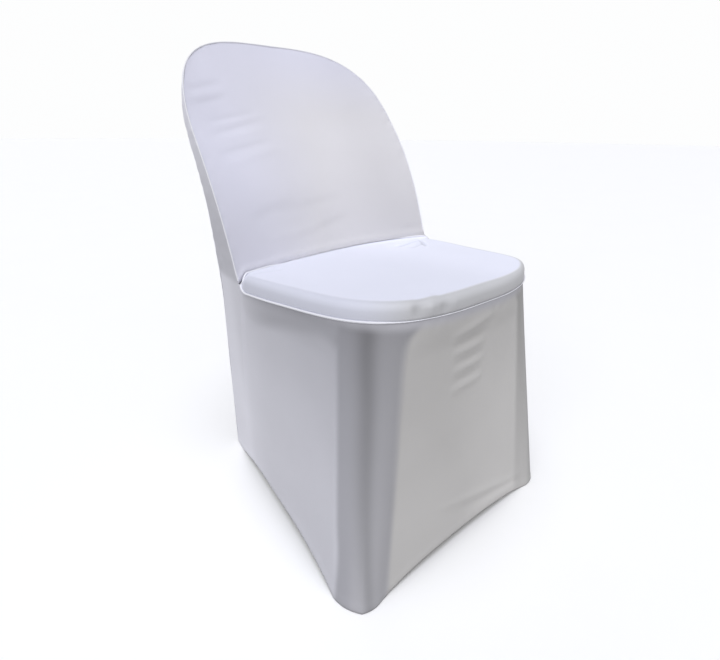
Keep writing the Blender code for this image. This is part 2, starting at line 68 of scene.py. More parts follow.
REAR_CORNER = (
    Corner(0.000, 0.2125, 0.271),
    Corner(0.080, 0.2150, 0.257),
    Corner(0.160, 0.2174, 0.243),
    Corner(0.240, 0.2198, 0.230),
    Corner(0.320, 0.2222, 0.215),
    Corner(0.400, 0.2246, 0.201),
    Corner(0.447, 0.2265, 0.197),
)
SEAM_HALF_WIDTH = REAR_CORNER[-1].x
Plan = namedtuple("Plan", "x y")
LIP_PLAN = (
    Plan(0.2265, 0.117),
    Plan(0.2270, 0.085),
    Plan(0.2210, 0.030),
    Plan(0.2125, -0.020),
    Plan(0.2035, -0.070),
    Plan(0.1920, -0.116),
    Plan(0.1780, -0.148),
    Plan(0.1570, -0.176),
    Plan(0.1280, -0.198),
    Plan(0.0900, -0.211),
    Plan(0.0500, -0.217),
    Plan(0.0000, -0.218),
)
RIGHT_CORNER_SWELL = 0.0085
RIGHT_CORNER_PLACE = 5.7
RIGHT_CORNER_REACH = 2.7
RIGHT_LIP_LIFT = 0.017
RIGHT_LIFT_END = 6.8
LIP_FRONT_Z = 0.457
LIP_FRONT_Y = -0.2085
LIP_FALL = 0.0822
LIP_RISE_REACH = 0.030
LIP_HEIGHT = 0.004
SEAT_TOP_FRONT_Z = 0.4815
SEAT_TOP_FALL = 0.070
SEAT_MIDDLE = Plan(0.0, -0.030)
SEAT_ROUND = 0.018
SEAT_ROUND_POWER = 2.7
SEAM_Z_LEFT = 0.452
SEAM_Z_RIGHT = 0.462
SEAM_DIP = 0.011
SEAM_DIP_REACH = 0.020
Station = namedtuple("Station", "lip_place floor_x floor_y steps")
SEAT_CORNER = Station(0.0, 0.2200, 0.200, 84)
LEG_SIDE = Station(5.0, 0.2520, -0.186, 14)
LEG_FOOT = Station(6.6, 0.2320, -0.2345, 12)
LEG_FRONT = Station(8.0, 0.1900, -0.2365, 44)
FRONT_MIDDLE = Station(11.0, 0.0, -0.2340, 0)
STATIONS = (SEAT_CORNER, LEG_SIDE, LEG_FOOT, LEG_FRONT, FRONT_MIDDLE)
SIDE_SPAN, LEG_SIDE_SPAN, LEG_FRONT_SPAN, FRONT_SPAN = range(4)
LEG_CORNER_BULGE = 0.004
BULGE_SPILL = 0.4
PANEL_SINK = 0.0045
SIDE_SINK_POWER = 4
FRONT_SINK_POWER = 6
APRON_FROM = 0.04
APRON_SHARE = 0.10
SIDE_HEM_RISE = 0.0265
FRONT_HEM_RISE = 0.0175
REAR_HEM_RISE = 0.028
HEM_TIGHTNESS = 3.2
HEM_RISE_POWER = 6
FOOT_HOLD = 0.038
REAR_BEND_SHARE = 0.25

# How finely the cloth is laid out.
CORNER_STEPS = 18
SKIRT_STEPS = 108
GUSSET_STEPS = 78
BACK_ACROSS = 150
BACK_UP = 150
REAR_DOWN = 104
SEAT_STEPS = 150
CAP_SHARE = 0.25
CAP_CROWDING = 1.5
RIM_CROWDING = 1.25
LOOK_AHEAD = 0.05
WELD = 0.00004
KNIT_THICKNESS = 0.0012
TUCK_UNDER = 0.0026
TUCK_EASE = 2.5


def read(table, at, column):
    """Read a column of a table at a place along its first column, on a smooth curve through its rows."""
    rows = [(row[0], getattr(row, column)) for row in table]
    return read_curve(rows, at)


def read_curve(rows, at):
    """Read pairs of numbers at a place, on a smooth curve through them."""
    at = min(max(at, rows[0][0]), rows[-1][0])
    last = len(rows) - 1
    here = max(i for i in range(last) if rows[i][0] <= at or i == 0)
    (x0, y0), (x1, y1) = rows[here], rows[here + 1]
    slope_in = slope(rows, max(here - 1, 0), here + 1)
    slope_out = slope(rows, here, min(here + 2, last))
    span = x1 - x0
    t = (at - x0) / span
    rise = 3 * t * t - 2 * t ** 3
    return (y0 + (y1 - y0) * rise
            + slope_in * span * (t ** 3 - 2 * t * t + t)
            + slope_out * span * (t ** 3 - t * t))


def slope(rows, low, high):
    return (rows[high][1] - rows[low][1]) / (rows[high][0] - rows[low][0])


def soft(t):
    """Ease from 0 to 1."""
    t = min(max(t, 0.0), 1.0)
    return t * t * (3 - 2 * t)


def rising(value, start, reach):
    """Ease from 0 at the start to 1 at a reach above it."""
    return soft((value - start) / reach)


def falling(value, start, reach):
    """Ease from 0 at the start to 1 at a reach below it."""
    return soft((start - value) / reach)


def squareness(side):
    return SQUARENESS_LEFT if side < 0 else SQUARENESS_RIGHT


def half_width(z, side):
    """Half the width of the back at a height, on its left or right side."""
    if z <= SEAM_Z:
        return read(REAR_CORNER, z, "x")
    if z <= ROUND_START_Z:
        lift = rising(z, SEAM_Z, ROUND_START_Z - SEAM_Z)
        return SEAM_HALF_WIDTH + (BACK_HALF_WIDTH - SEAM_HALF_WIDTH) * lift
    share = (z - ROUND_START_Z) / (TOP_Z - ROUND_START_Z)
    power = squareness(side)
    return BACK_HALF_WIDTH * max(1 - share ** power, 0.0) ** (1 / power)


def arch_z(x):
    """Height of the round top edge over a place across the back."""
    share = min(abs(x) / BACK_HALF_WIDTH, 1.0)
    power = squareness(x)
    return ROUND_START_Z + (TOP_Z - ROUND_START_Z) * (1 - share ** power) ** (1 / power)


def inside_y(x, z):
    """Depth of the inside of the back, which is a little hollow."""
    return read(BACK_LEVELS, z, "inside_y") - BACK_HOLLOW * (x / BACK_HALF_WIDTH) ** 2


def outside_y(x, z):
    """Depth of the rear panel, which bulges away from the inside of the back."""
    share = abs(x) / BACK_HALF_WIDTH
    over = max(z - ROUND_START_Z, 0.0) / (TOP_Z - ROUND_START_Z)
    power = squareness(x)
    reach = (share ** power + over ** power) ** (1 / power)
    from_edge = max(1 - reach, 0.0) * BACK_HALF_WIDTH
    if z <= GUSSET_TIP_Z:
        from_edge = min(from_edge, max(half_width(z, x) - abs(x), 0.0))
    spread = read(BACK_LEVELS, z, "spread")
    lift = math.sqrt(max(1 - (1 - min(from_edge / spread, 1.0)) ** 2, 0.0))
    edge = read(BACK_LEVELS, z, "gusset_depth")
    middle = read(BACK_LEVELS, z, "middle_depth")
    return inside_y(x, z) + edge + (middle - edge) * lift


def seat_seam_z(x):
    """Height of the seam between seat and back, which dips at its left end."""
    share = soft(0.5 + 0.5 * x / SEAM_HALF_WIDTH)
    dip = SEAM_DIP * (1 - soft((SEAM_HALF_WIDTH + x) / SEAM_DIP_REACH))
    return SEAM_Z_LEFT + (SEAM_Z_RIGHT - SEAM_Z_LEFT) * share - dip


LIP_LAST = len(LIP_PLAN) - 1
LIP_XS = [(i, row.x) for i, row in enumerate(LIP_PLAN)]
LIP_YS = [(i, row.y) for i, row in enumerate(LIP_PLAN)]


def lip_point(place):
    """A point of the seat's lip, from the left end at 0 to the right end."""
    side = -1 if place <= LIP_LAST else 1
    along = place if place <= LIP_LAST else 2 * LIP_LAST - place
    x = side * max(read_curve(LIP_XS, along), 0.0)
    y = read_curve(LIP_YS, along)
    lift = 0.0
    if side > 0:
        swell = 1 - soft(abs(along - RIGHT_CORNER_PLACE) / RIGHT_CORNER_REACH)
        x += RIGHT_CORNER_SWELL * swell
        y -= RIGHT_CORNER_SWELL * swell
        lift = RIGHT_LIP_LIFT * math.sin(math.pi * min(along / RIGHT_LIFT_END, 1.0))
    z = LIP_FRONT_Z - LIP_FALL * (y - LIP_FRONT_Y) + lift
    near = 1 - falling(y, LIP_PLAN[0].y, LIP_RISE_REACH)
    return Vector((x, y, z + (seat_seam_z(x) - z) * near))


def lip_outward(place):
    """The level direction away from the seat at a place on its lip."""
    run = lip_point(min(place + LOOK_AHEAD, 2 * LIP_LAST)) - lip_point(max(place - LOOK_AHEAD, 0))
    outward = Vector((run.y, -run.x, 0.0)).normalized()
    here = lip_point(place)
    if outward.dot(Vector((here.x - SEAT_MIDDLE.x, here.y - SEAT_MIDDLE.y, 0.0))) < 0:
        outward = -outward
    return outward


def hem_rise(share, most):
    """Rise of a hem at a share of the way from one foot to the next."""
    share = min(max(share, 0.0), 1.0)
    return most * (1 - abs(2 * share - 1) ** HEM_TIGHTNESS)


def side_share(y):
    front, back = LEG_SIDE.floor_y, REAR_CORNER[0].y - FOOT_HOLD
    return (back - y) / (back - front)


def rear_corner_point(side, z):
    return Vector((side * read(REAR_CORNER, z, "x"), read(REAR_CORNER, z, "y"), z))


def corner_columns(side):
    """Skirt columns between the rear corner and the end of the lip, from back to front."""
    columns = []
    lip_end = lip_point(0 if side < 0 else 2 * LIP_LAST)
    floor_end = Vector((side * SEAT_CORNER.floor_x, SEAT_CORNER.floor_y, 0.0))
    for step in range(CORNER_STEPS):
        t = step / CORNER_STEPS
        column = []
        for row in range(SKIRT_STEPS + 1):
            share = row / SKIRT_STEPS
            corner = rear_corner_point(side, SEAM_Z * (1 - share))
            spot = corner.lerp(lip_end.lerp(floor_end, share), t)
            floor_y = REAR_CORNER[0].y + (SEAT_CORNER.floor_y - REAR_CORNER[0].y) * t
            spot.z += hem_rise(side_share(floor_y), SIDE_HEM_RISE) * share ** HEM_RISE_POWER
            column.append(spot)
        columns.append(column)
    return columns


def lip_stations():
    """Every column along the lip: place, floor x, floor y, span number and share of the span."""
    half = []
    for number, (one, two) in enumerate(zip(STATIONS, STATIONS[1:])):
        for step in range(one.steps):
            t = step / one.steps
            x = one.floor_x + (two.floor_x - one.floor_x) * t
            y = one.floor_y + (two.floor_y - one.floor_y) * t
            if number in (LEG_SIDE_SPAN, LEG_FRONT_SPAN):
                swell = LEG_CORNER_BULGE * math.sin(math.pi * t)
                x += swell if number == LEG_SIDE_SPAN else BULGE_SPILL * swell
                y -= swell if number == LEG_FRONT_SPAN else BULGE_SPILL * swell
            half.append((one.lip_place + (two.lip_place - one.lip_place) * t, -x, y, number, t))
    middle = [(FRONT_MIDDLE.lip_place, 0.0, FRONT_MIDDLE.floor_y, FRONT_SPAN, 1.0)]
    return half + middle + [(2 * LIP_LAST - p, -x, y, n, t) for p, x, y, n, t in reversed(half)]


def skirt_columns():
    """Every column of the skirt, from its left rear corner to its right one."""
    columns = corner_columns(-1)
    for place, x, y, span, t in lip_stations():
        top = lip_point(place)
        near = soft(min(place, 2 * LIP_LAST - place) * TUCK_EASE)
        top = top - lip_outward(place) * TUCK_UNDER * near
        rise, sink = 0.0, 0.0
        if span == SIDE_SPAN:
            rise = hem_rise(side_share(y), SIDE_HEM_RISE)
            sink = PANEL_SINK * (1 - abs(2 * t - 1) ** SIDE_SINK_POWER)
        elif span == FRONT_SPAN:
            rise = hem_rise(t * 0.5, FRONT_HEM_RISE)
            sink = PANEL_SINK * (1 - (1 - t) ** FRONT_SINK_POWER)
        floor = Vector((x, y, 0.0))
        facing = Vector((math.copysign(1, x), 0, 0)) if span == SIDE_SPAN else Vector((0, -1, 0))
        column = []
        for row in range(SKIRT_STEPS + 1):
            share = row / SKIRT_STEPS
            z = top.z + (rise - top.z) * share
            spot = top.lerp(floor, (top.z - z) / top.z)
            spot -= facing * sink * rising(share, APRON_FROM, APRON_SHARE) * (1 - share ** 2)
            spot.z = z
            column.append(spot)
        columns.append(column)
    return columns + corner_columns(1)[::-1]


def gusset_rows(side, first_row):
    """Rows of a gusset from the seat up to its tip; each row runs from the rear seam to the front seam."""
    rows = [first_row]
    for step in range(1, GUSSET_STEPS + 1):
        row = []
        for i, start in enumerate(first_row):
            z = start.z + (GUSSET_TIP_Z - start.z) * step / GUSSET_STEPS
            x = side * half_width(z, side)
            back_y, front_y = outside_y(x, z), inside_y(x, z)
            row.append(Vector((x, back_y + (front_y - back_y) * i / CORNER_STEPS, z)))
        rows.append(row)
    return rows


# Folds and creases: soft ridges (positive height) and troughs (negative) from one end to the other.
Fold = namedtuple("Fold", "start end half_width height")
SKIRT_FOLDS = (
    Fold((-0.056, -0.213, 0.415), (0.036, -0.213, 0.434), 0.0075, 0.003),
    Fold((-0.05, -0.214, 0.398), (0.03, -0.214, 0.408), 0.006, -0.0014),
    Fold((-0.052, -0.216, 0.387), (0.026, -0.216, 0.391), 0.007, 0.0027),
    Fold((-0.048, -0.216, 0.37), (0.026, -0.216, 0.373), 0.006, -0.0012),
    Fold((-0.05, -0.217, 0.357), (0.026, -0.217, 0.361), 0.007, 0.0024),
    Fold((-0.048, -0.218, 0.34), (0.024, -0.218, 0.343), 0.006, -0.0011),
    Fold((-0.052, -0.218, 0.324), (0.026, -0.218, 0.329), 0.0075, 0.0022),
    Fold((-0.075, -0.228, 0.104), (0.18, -0.232, 0.04), 0.009, 0.0016),
    Fold((-0.02, -0.23, 0.07), (0.2, -0.233, 0.026), 0.008, -0.0012),
)
SEAT_FOLDS = (
    Fold((-0.1, -0.185, 0.478), (-0.142, -0.222, 0.462), 0.006, -0.0026),
    Fold((-0.078, -0.19, 0.478), (-0.118, -0.226, 0.462), 0.0065, 0.0028),
    Fold((-0.066, -0.196, 0.476), (-0.088, -0.224, 0.462), 0.006, -0.0024),
    Fold((-0.048, -0.2, 0.474), (-0.066, -0.226, 0.462), 0.006, 0.0016),
    Fold((0.1, 0.098, 0.461), (0.214, 0.114, 0.459), 0.0046, 0.0034),
    Fold((0.106, 0.084, 0.461), (0.2, 0.108, 0.459), 0.004, -0.0034),
    Fold((0.116, 0.07, 0.462), (0.196, 0.096, 0.46), 0.0046, 0.003),
    Fold((0.12, 0.054, 0.463), (0.18, 0.078, 0.461), 0.0042, -0.0022),
    Fold((0.156, 0.046, 0.462), (0.208, 0.118, 0.459), 0.0042, -0.0042),
    Fold((-0.15, 0.09, 0.46), (-0.222, 0.1, 0.452), 0.005, -0.0016),
)
BACK_FOLDS = (
    Fold((-0.196, 0.216, 0.641), (-0.072, 0.254, 0.664), 0.0062, -0.0009),
    Fold((-0.19, 0.232, 0.66), (-0.066, 0.27, 0.684), 0.0064, 0.0006),
    Fold((-0.2, 0.238, 0.671), (-0.076, 0.278, 0.7), 0.0058, -0.0007),
    Fold((-0.182, 0.25, 0.684), (-0.06, 0.286, 0.708), 0.006, 0.0005),
    Fold((-0.2, 0.252, 0.69), (-0.086, 0.284, 0.714), 0.0054, -0.0006),
    Fold((-0.218, 0.262, 0.717), (-0.14, 0.29, 0.734), 0.006, -0.0007),
    Fold((-0.216, 0.27, 0.727), (-0.13, 0.298, 0.746), 0.0056, 0.0005),
    Fold((-0.21, 0.28, 0.742), (-0.136, 0.306, 0.76), 0.0056, -0.0006),
    Fold((-0.19, 0.206, 0.622), (-0.06, 0.244, 0.65), 0.0066, 0.0006),
    Fold((-0.17, 0.168, 0.538), (-0.06, 0.192, 0.558), 0.0095, -0.0008),
    Fold((-0.11, 0.18, 0.541), (0.05, 0.196, 0.558), 0.009, -0.0007),
    Fold((-0.15, 0.156, 0.5), (-0.01, 0.172, 0.506), 0.01, 0.0008),
    Fold((-0.08, 0.164, 0.49), (0.06, 0.18, 0.521), 0.0085, -0.0008),
    Fold((0.06, 0.15, 0.466), (0.224, 0.12, 0.474), 0.0055, 0.0036),
    Fold((0.17, 0.14, 0.484), (0.226, 0.124, 0.487), 0.0045, -0.003),
    Fold((0.176, 0.142, 0.494), (0.226, 0.128, 0.498), 0.0045, 0.0016),
)
REAR_FOLDS = (
    Fold((-0.205, 0.0, 0.452), (-0.07, 0.0, 0.418), 0.011, 0.0016),
    Fold((0.205, 0.0, 0.452), (0.08, 0.0, 0.424), 0.011, 0.0016),
    Fold((-0.2, 0.0, 0.434), (-0.09, 0.0, 0.394), 0.009, -0.0011),
    Fold((0.2, 0.0, 0.434), (0.1, 0.0, 0.4), 0.009, -0.0011),
    Fold((-0.16, 0.0, 0.11), (0.02, 0.0, 0.07), 0.012, 0.0013),
    Fold((0.16, 0.0, 0.1), (0.0, 0.0, 0.062), 0.012, 0.0013),
)
FOLD_FADE = 0.6


def fold_push(spot, folds):
    """How far the folds move a spot of cloth along its normal."""
    total = 0.0
    for fold in folds:
        start, end = Vector(fold.start), Vector(fold.end)
        run = end - start
        along = (spot - start).dot(run) / run.length_squared
        if 0.0 < along < 1.0:
            off = (spot - start - run * along).length / fold.half_width
            if off < 3:
                total += fold.height * math.exp(-off * off) * math.sin(math.pi * along) ** FOLD_FADE
    return total


# Where the cloth lies on the frame. Along a leg: height, and place across. Along the rail: depth, and height.
FRONT_LEG_EDGE = (
    (0.000, 0.182), (0.082, 0.173), (0.168, 0.163), (0.257, 0.153),
    (0.331, 0.1445), (0.406, 0.134), (0.430, 0.126), (0.448, 0.110),
)
LEG_CORNER = (
    (0.000, 0.221), (0.082, 0.215), (0.168, 0.206), (0.257, 0.194),
    (0.331, 0.183), (0.406, 0.1735), (0.448, 0.167),
)
SIDE_LEG_EDGE = (
    (0.014, -0.188), (0.084, -0.182), (0.143, -0.170),
    (0.241, -0.154), (0.339, -0.138), (0.420, -0.124),
)
SIDE_RAIL_EDGE = (
    (-0.126, 0.406), (-0.111, 0.416), (-0.092, 0.419), (-0.048, 0.411),
    (0.008, 0.399), (0.075, 0.376), (0.120, 0.352),
)
SIDE_SOFTNESS = 0.007
RAIL_SOFTNESS = SIDE_SOFTNESS * 2.0
FRONT_SOFTNESS = 0.008
# How strongly the troughs of the folds are darkened as painted shade.
CREASE_PAINTED_SHADE = 60.0


def painted_crease_shade(spot, folds):
    """Painted shade in the troughs of the folds: they are drawn a little darker."""
    return 1 + CREASE_PAINTED_SHADE * min(fold_push(spot, folds), 0.0)


def edge_mask(distance, softness):
    """1 where the distance is well above zero, 0 well below it."""
    return soft(0.5 + 0.5 * distance / softness)


# Painted light and shade, as shares of the dye: below 1 is painted shade, above 1 is painted light. A gain is
# added to a shade, or to 1 where it multiplies one.
SIDE_SHADE = 0.94
SIDE_LOW_GAIN = 0.09
SIDE_REAR_GAIN = 0.09
SIDE_LEG_SHADE = 0.64
UNDER_SEAT_SHADOW = 0.06
UNDER_SEAT_MORE_SHADOW = 0.24
FRONT_SHADE = 0.93
FRONT_LOW_GAIN = 0.08
FRONT_LEFT_SHADE = 0.84
FRONT_RIGHT_GAIN = 0.14
FRONT_LEG_SHADE = 0.70
FRONT_LEG_FALL = 0.34
CORNER_SHADE = 0.17
CORNER_REACH = 0.009
RAIL_SHADE = 0.74
REAR_SHADE = 1.16
GUSSET_SHADE = 1.14
GUSSET_LOW_SHADE = 0.83
LIP_PAINTED_SHADOW = 0.70
HEM_PAINTED_LIGHT = 0.11
HEM_PAINTED_LIGHT_HEIGHT = 0.024
HEM_PAINTED_LIGHT_REACH = 0.013
# Painted warm light is weaker over the left front leg.
LEG_COOLNESS = 0.75
RIGHT_LEG_INWARD = 0.014
RIGHT_LEG_SHADE = 1.25


def side_painted_shade(y, z):
    """Painted light and shade of a side of the skirt: painted shade over the leg, the rail and under the
    seat, painted light over the back of the seat.
    """
    leg = edge_mask(read_curve(SIDE_LEG_EDGE, z) - y, SIDE_SOFTNESS)
    rail = edge_mask(z - read_curve(SIDE_RAIL_EDGE, y), RAIL_SOFTNESS) * (1 - rising(y, 0.0, 0.13))
    free = SIDE_SHADE + SIDE_LOW_GAIN * falling(z, 0.42, 0.30)
    free *= 1 + (REAR_SHADE - 1) * rising(y, 0.02, 0.18)
    free *= 1 + SIDE_REAR_GAIN * rising(y, 0.13, 0.05)
    lying = SIDE_LEG_SHADE + (RAIL_SHADE - SIDE_LEG_SHADE) * (1 - leg)
    forward = min(max((0.13 - y) / 0.28, 0.0), 1.1)
    # Painted shade under the seat, strongest high up and towards the front.
    under_seat_shadow = UNDER_SEAT_SHADOW + UNDER_SEAT_MORE_SHADOW * (max(z - 0.15, 0.0) / 0.27) ** 2
    return (free + (lying - free) * max(leg, rail)) * (1 - under_seat_shadow * forward), max(leg, rail)


def front_painted_shade(x, z):
    """Painted light and shade of the front of the skirt: painted shade over the legs, painted light low down,
    to the right and in a band just above the hem.
    """
    inward = RIGHT_LEG_INWARD if x > 0 else 0.0
    leg = edge_mask(abs(x) + inward - read_curve(FRONT_LEG_EDGE, z), FRONT_SOFTNESS)
    free = FRONT_SHADE + FRONT_LOW_GAIN * falling(z, 0.44, 0.20)
    free *= FRONT_LEFT_SHADE + FRONT_RIGHT_GAIN * max(rising(x, -0.14, 0.26), 0.6 * falling(z, 0.32, 0.20))
    # A painted highlight in a band just above the hem.
    over_hem = z - hem_rise(0.5 - abs(x) / LEG_FRONT.floor_x * 0.5, FRONT_HEM_RISE)
    hem_painted_light = HEM_PAINTED_LIGHT * math.exp(-((over_hem - HEM_PAINTED_LIGHT_HEIGHT) / HEM_PAINTED_LIGHT_REACH) ** 2)
    free *= 1 + hem_painted_light * rising(x, -0.02, 0.12)
    on_leg = FRONT_LEG_SHADE * (1 - FRONT_LEG_FALL * (z / 0.43) ** 1.3)
    on_leg *= RIGHT_LEG_SHADE if x > 0 else 1.0
    return free + (on_leg - free) * leg, leg


def skirt_painted_shade(spot, normal):
    """Painted shade of the knit at a spot of the skirt, how much it lies on the frame, and its painted warm
    light.
    """
    above = rising(spot.z, 0.435, 0.020)
    gusset = GUSSET_LOW_SHADE + (GUSSET_SHADE - GUSSET_LOW_SHADE) * rising(spot.z, 0.50, 0.22)
    forward = rising(-normal.y, 0.35, 0.3)
    on_side, side_lying = side_painted_shade(spot.y, spot.z)
    on_front, front_lying = front_painted_shade(spot.x, spot.z)
    shade = on_side * (1 - forward) + on_front * forward
    # Painted shade along the corner of each front leg.
    if spot.y < -0.10:
        off = (abs(spot.x) - read_curve(LEG_CORNER, spot.z)) / CORNER_REACH
        shade -= CORNER_SHADE * math.exp(-off * off)
    # Painted warm light on the front, weaker over the left front leg.
    painted_warm_light = forward * (1 - LEG_COOLNESS * front_lying) if spot.x < 0 else forward
    lying = side_lying * (1 - forward) + front_lying * forward
    return shade + (gusset - shade) * above, lying + (1 - lying) * above, painted_warm_light * (1 - above)


def new_sheet():
    """An empty sheet, with a layer for each number that its vertices carry."""
    bm = bmesh.new()
    for layer in ("across", "along", "shade", "lying", "hem", "painted_warm_light"):
        bm.verts.layers.float.new(layer)
    return bm


def marks(bm, *names):
    """Some of the layers of a sheet's vertices."""
    return [bm.verts.layers.float[name] for name in names]


def weld(bm):
    bmesh.ops.remove_doubles(bm, verts=bm.verts[:], dist=WELD)


def mesh_of(name, bm, material):
    mesh = bpy.data.meshes.new(name)
    bm.to_mesh(mesh)
    bm.free()
    mesh.materials.append(material)
    return mesh


def put_in_scene(name, data):
    thing = bpy.data.objects.new(name, data)
    bpy.context.collection.objects.link(thing)
    return thing


def lay_grid(bm, rows, measure):
    """Lay a flat grid of cloth on rows of points, and note its own measures in metres."""
    tall, wide = len(rows) - 1, len(rows[0]) - 1
    made = bmesh.ops.create_grid(bm, x_segments=wide, y_segments=tall, size=0.5)
    across, along = marks(bm, "across", "along")
    for vert in made["verts"]:
        i = round((vert.co.x + 0.5) * wide)
        j = round((vert.co.y + 0.5) * tall)
        vert.co = rows[j][i]
        vert[across], vert[along] = measure(i, j)
    return made["verts"]


def face_outward(bm, toward):
    """Turn the faces so that their outer side looks the way that toward gives for a face."""
    bmesh.ops.recalc_face_normals(bm, faces=bm.faces[:])
    bm.normal_update()
    score = sum(face.normal.dot(toward(face)) * face.calc_area() for face in bm.faces)
    if score < 0:
        bmesh.ops.reverse_faces(bm, faces=bm.faces[:])
    bm.normal_update()


def press(bm, push):
    """Move every vertex of a sheet along its normal."""
    bm.normal_update()
    moves = [(vert, vert.normal * push(vert)) for vert in bm.verts]
    for vert, move in moves:
        vert.co += move
    bm.normal_update()


def finish_sheet(name, bm, material, node):
    """Centre the sheet, write its measures on the mesh, give it a thickness and hand it to the frame."""
    bmesh.ops.translate(bm, verts=bm.verts[:], vec=(0.0, -MIDDLE_Y, 0.0))
    cloth_map = bm.loops.layers.uv.new("cloth")
    across, along, shade_mark = marks(bm, "across", "along", "shade")
    for vert in bm.verts:
        vert[shade_mark] = vert[shade_mark] or 1.0
    for face in bm.faces:
        face.smooth = True
        for loop in face.loops:
            loop[cloth_map].uv = (loop.vert[across], loop.vert[along])
    piece = put_in_scene(name, mesh_of(name, bm, material))
    wall = piece.modifiers.new("cloth thickness", "SOLIDIFY")
    wall.thickness = KNIT_THICKNESS
    wall.offset = -1.0
    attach(piece, "root")
    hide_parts(node)


RIPPLE_SCALE = 11.0
RIPPLE_HEIGHT = 0.0011
SEAT_RIPPLE_HEIGHT = 0.0005
RIPPLE_FADE = 0.05
BACK_RIPPLE_FADE = 0.06


def ripple(spot, height=RIPPLE_HEIGHT):
    """Slow unevenness of stretched cloth."""
    return noise.noise(spot * RIPPLE_SCALE) * height


PUCKER_REACH = 0.014
PUCKER_SCALE = 70.0
PUCKER_HEIGHT = 0.0011
SKIRT_PUCKER_SHARE = 0.8


def pucker(spot, distance):
    """Small gathers beside a seam, strongest next to it."""
    return noise.noise(spot * PUCKER_SCALE) * PUCKER_HEIGHT * math.exp(-distance / PUCKER_REACH)


# Where the painted shadow line under the lip runs.
LIP_LINE_WIDTH = 0.002
LIP_LINE_REAR_Y = -0.16
LIP_LINE_RIGHT_X = 0.17


def make_skirt(material):
    bm = new_sheet()
    columns = skirt_columns()
    rows = [list(row) for row in zip(*columns)]
    steps = [0.0]
    for one, two in zip(rows[0], rows[0][1:]):
        steps.append(steps[-1] + (two - one).length)
    lay_grid(bm, rows, lambda i, j: (steps[i], (rows[0][i] - rows[j][i]).length))
    for side, first in ((-1, rows[0][:CORNER_STEPS + 1]), (1, rows[0][::-1][:CORNER_STEPS + 1])):
        gusset = gusset_rows(side, first)
        start = 0.0 if side < 0 else steps[-1]
        lay_grid(bm, gusset, lambda i, j: (start - side * (gusset[0][0] - gusset[0][i]).length,
                                           (gusset[0][i] - gusset[j][i]).length * -1.0))
    weld(bm)
    face_outward(bm, lambda face: Vector((face.calc_center_median().x, face.calc_center_median().y, 0)))
    names = ("shade", "lying", "painted_warm_light", "along", "hem")
    shade_mark, lying_mark, warm_mark, along_mark, hem_mark = marks(bm, *names)
    # Painted light, shade and warm light on the skirt, and painted shade in its creases.
    for vert in bm.verts:
        vert[shade_mark], vert[lying_mark], vert[warm_mark] = skirt_painted_shade(vert.co, vert.normal)
        vert[shade_mark] *= painted_crease_shade(vert.co, SKIRT_FOLDS)
        # A thin painted shadow line just under the lip, across the front.
        under_lip = abs(vert[along_mark]) < LIP_LINE_WIDTH
        if under_lip and vert.co.y < LIP_LINE_REAR_Y and vert.co.x < LIP_LINE_RIGHT_X:
            vert[shade_mark] *= LIP_PAINTED_SHADOW
        vert[hem_mark] = hem_height(vert.co)
    press(bm, lambda vert: skirt_push(vert, lying_mark, hem_mark))
    finish_sheet("skirt_cloth", bm, material, "skirt")


FRONT_HEM_DEPTH = 0.035


def hem_height(spot):
    """Height of a spot of the skirt or rear panel above its hem."""
    if spot.y < LEG_FOOT.floor_y + FRONT_HEM_DEPTH:
        share = (LEG_FRONT.floor_x - abs(spot.x)) / LEG_FRONT.floor_x * 0.5
        return spot.z - hem_rise(share, FRONT_HEM_RISE)
    return spot.z - hem_rise(side_share(spot.y), SIDE_HEM_RISE)


HEM_WIDTH = 0.016
HEM_HEIGHT = 0.0005
HEM_SOFTNESS = 0.003
PANEL_STEP = 0.0010
LIP_FADE = 0.05


def hem_push(height):
    """The turned hem is thicker than the cloth above it."""
    return HEM_HEIGHT * edge_mask(HEM_WIDTH - height, HEM_SOFTNESS)


def skirt_push(vert, lying_mark, hem_mark):
    """How far a vertex of the skirt moves outward."""
    spot = vert.co
    from_lip = max(SEAM_Z - spot.z, 0.0)
    free = (1 - vert[lying_mark]) * soft(spot.z / LIP_FADE)
    total = fold_push(spot, SKIRT_FOLDS) + hem_push(vert[hem_mark])
    total += pucker(spot, from_lip) * SKIRT_PUCKER_SHARE
    return total + ripple(spot) * free + PANEL_STEP * vert[lying_mark]


# Painted light and shade, and painted warm light, on the inside of the back.
BACK_SHADE = 0.935
BACK_LEFT_GAIN = 0.035
BACK_LOW_LOSS = 0.075
BACK_RIGHT_LOSS = 0.085
BACK_WARMTH = 1.08
BACK_LOW_WARMTH = 0.25
MOST_WARMTH = 1.1


def back_painted_shade(x, z):
    """Painted shade on the inside of the back, darkest low down and to the right, with painted warm light on
    the same parts.
    """
    low = falling(z, 0.64, 0.17)
    shade = BACK_SHADE + BACK_LEFT_GAIN * rising(-x, 0.06, 0.10) * (1 - low)
    shade = shade - BACK_LOW_LOSS * low - BACK_RIGHT_LOSS * rising(x, 0.03, 0.14)
    painted_warm_light = BACK_WARMTH * rising(x, -0.20, 0.27) * falling(z, 0.84, 0.16) + BACK_LOW_WARMTH * low
    return shade, min(painted_warm_light, MOST_WARMTH)


def from_side(spot):
    """How far a spot of the back is from its side edge."""
    return half_width(min(spot.z, TOP_Z - 0.001), spot.x) - abs(spot.x)


SEAM_WELT = 0.0016
SEAM_WELT_ABOVE = 0.008
SEAM_WELT_REACH = 0.006


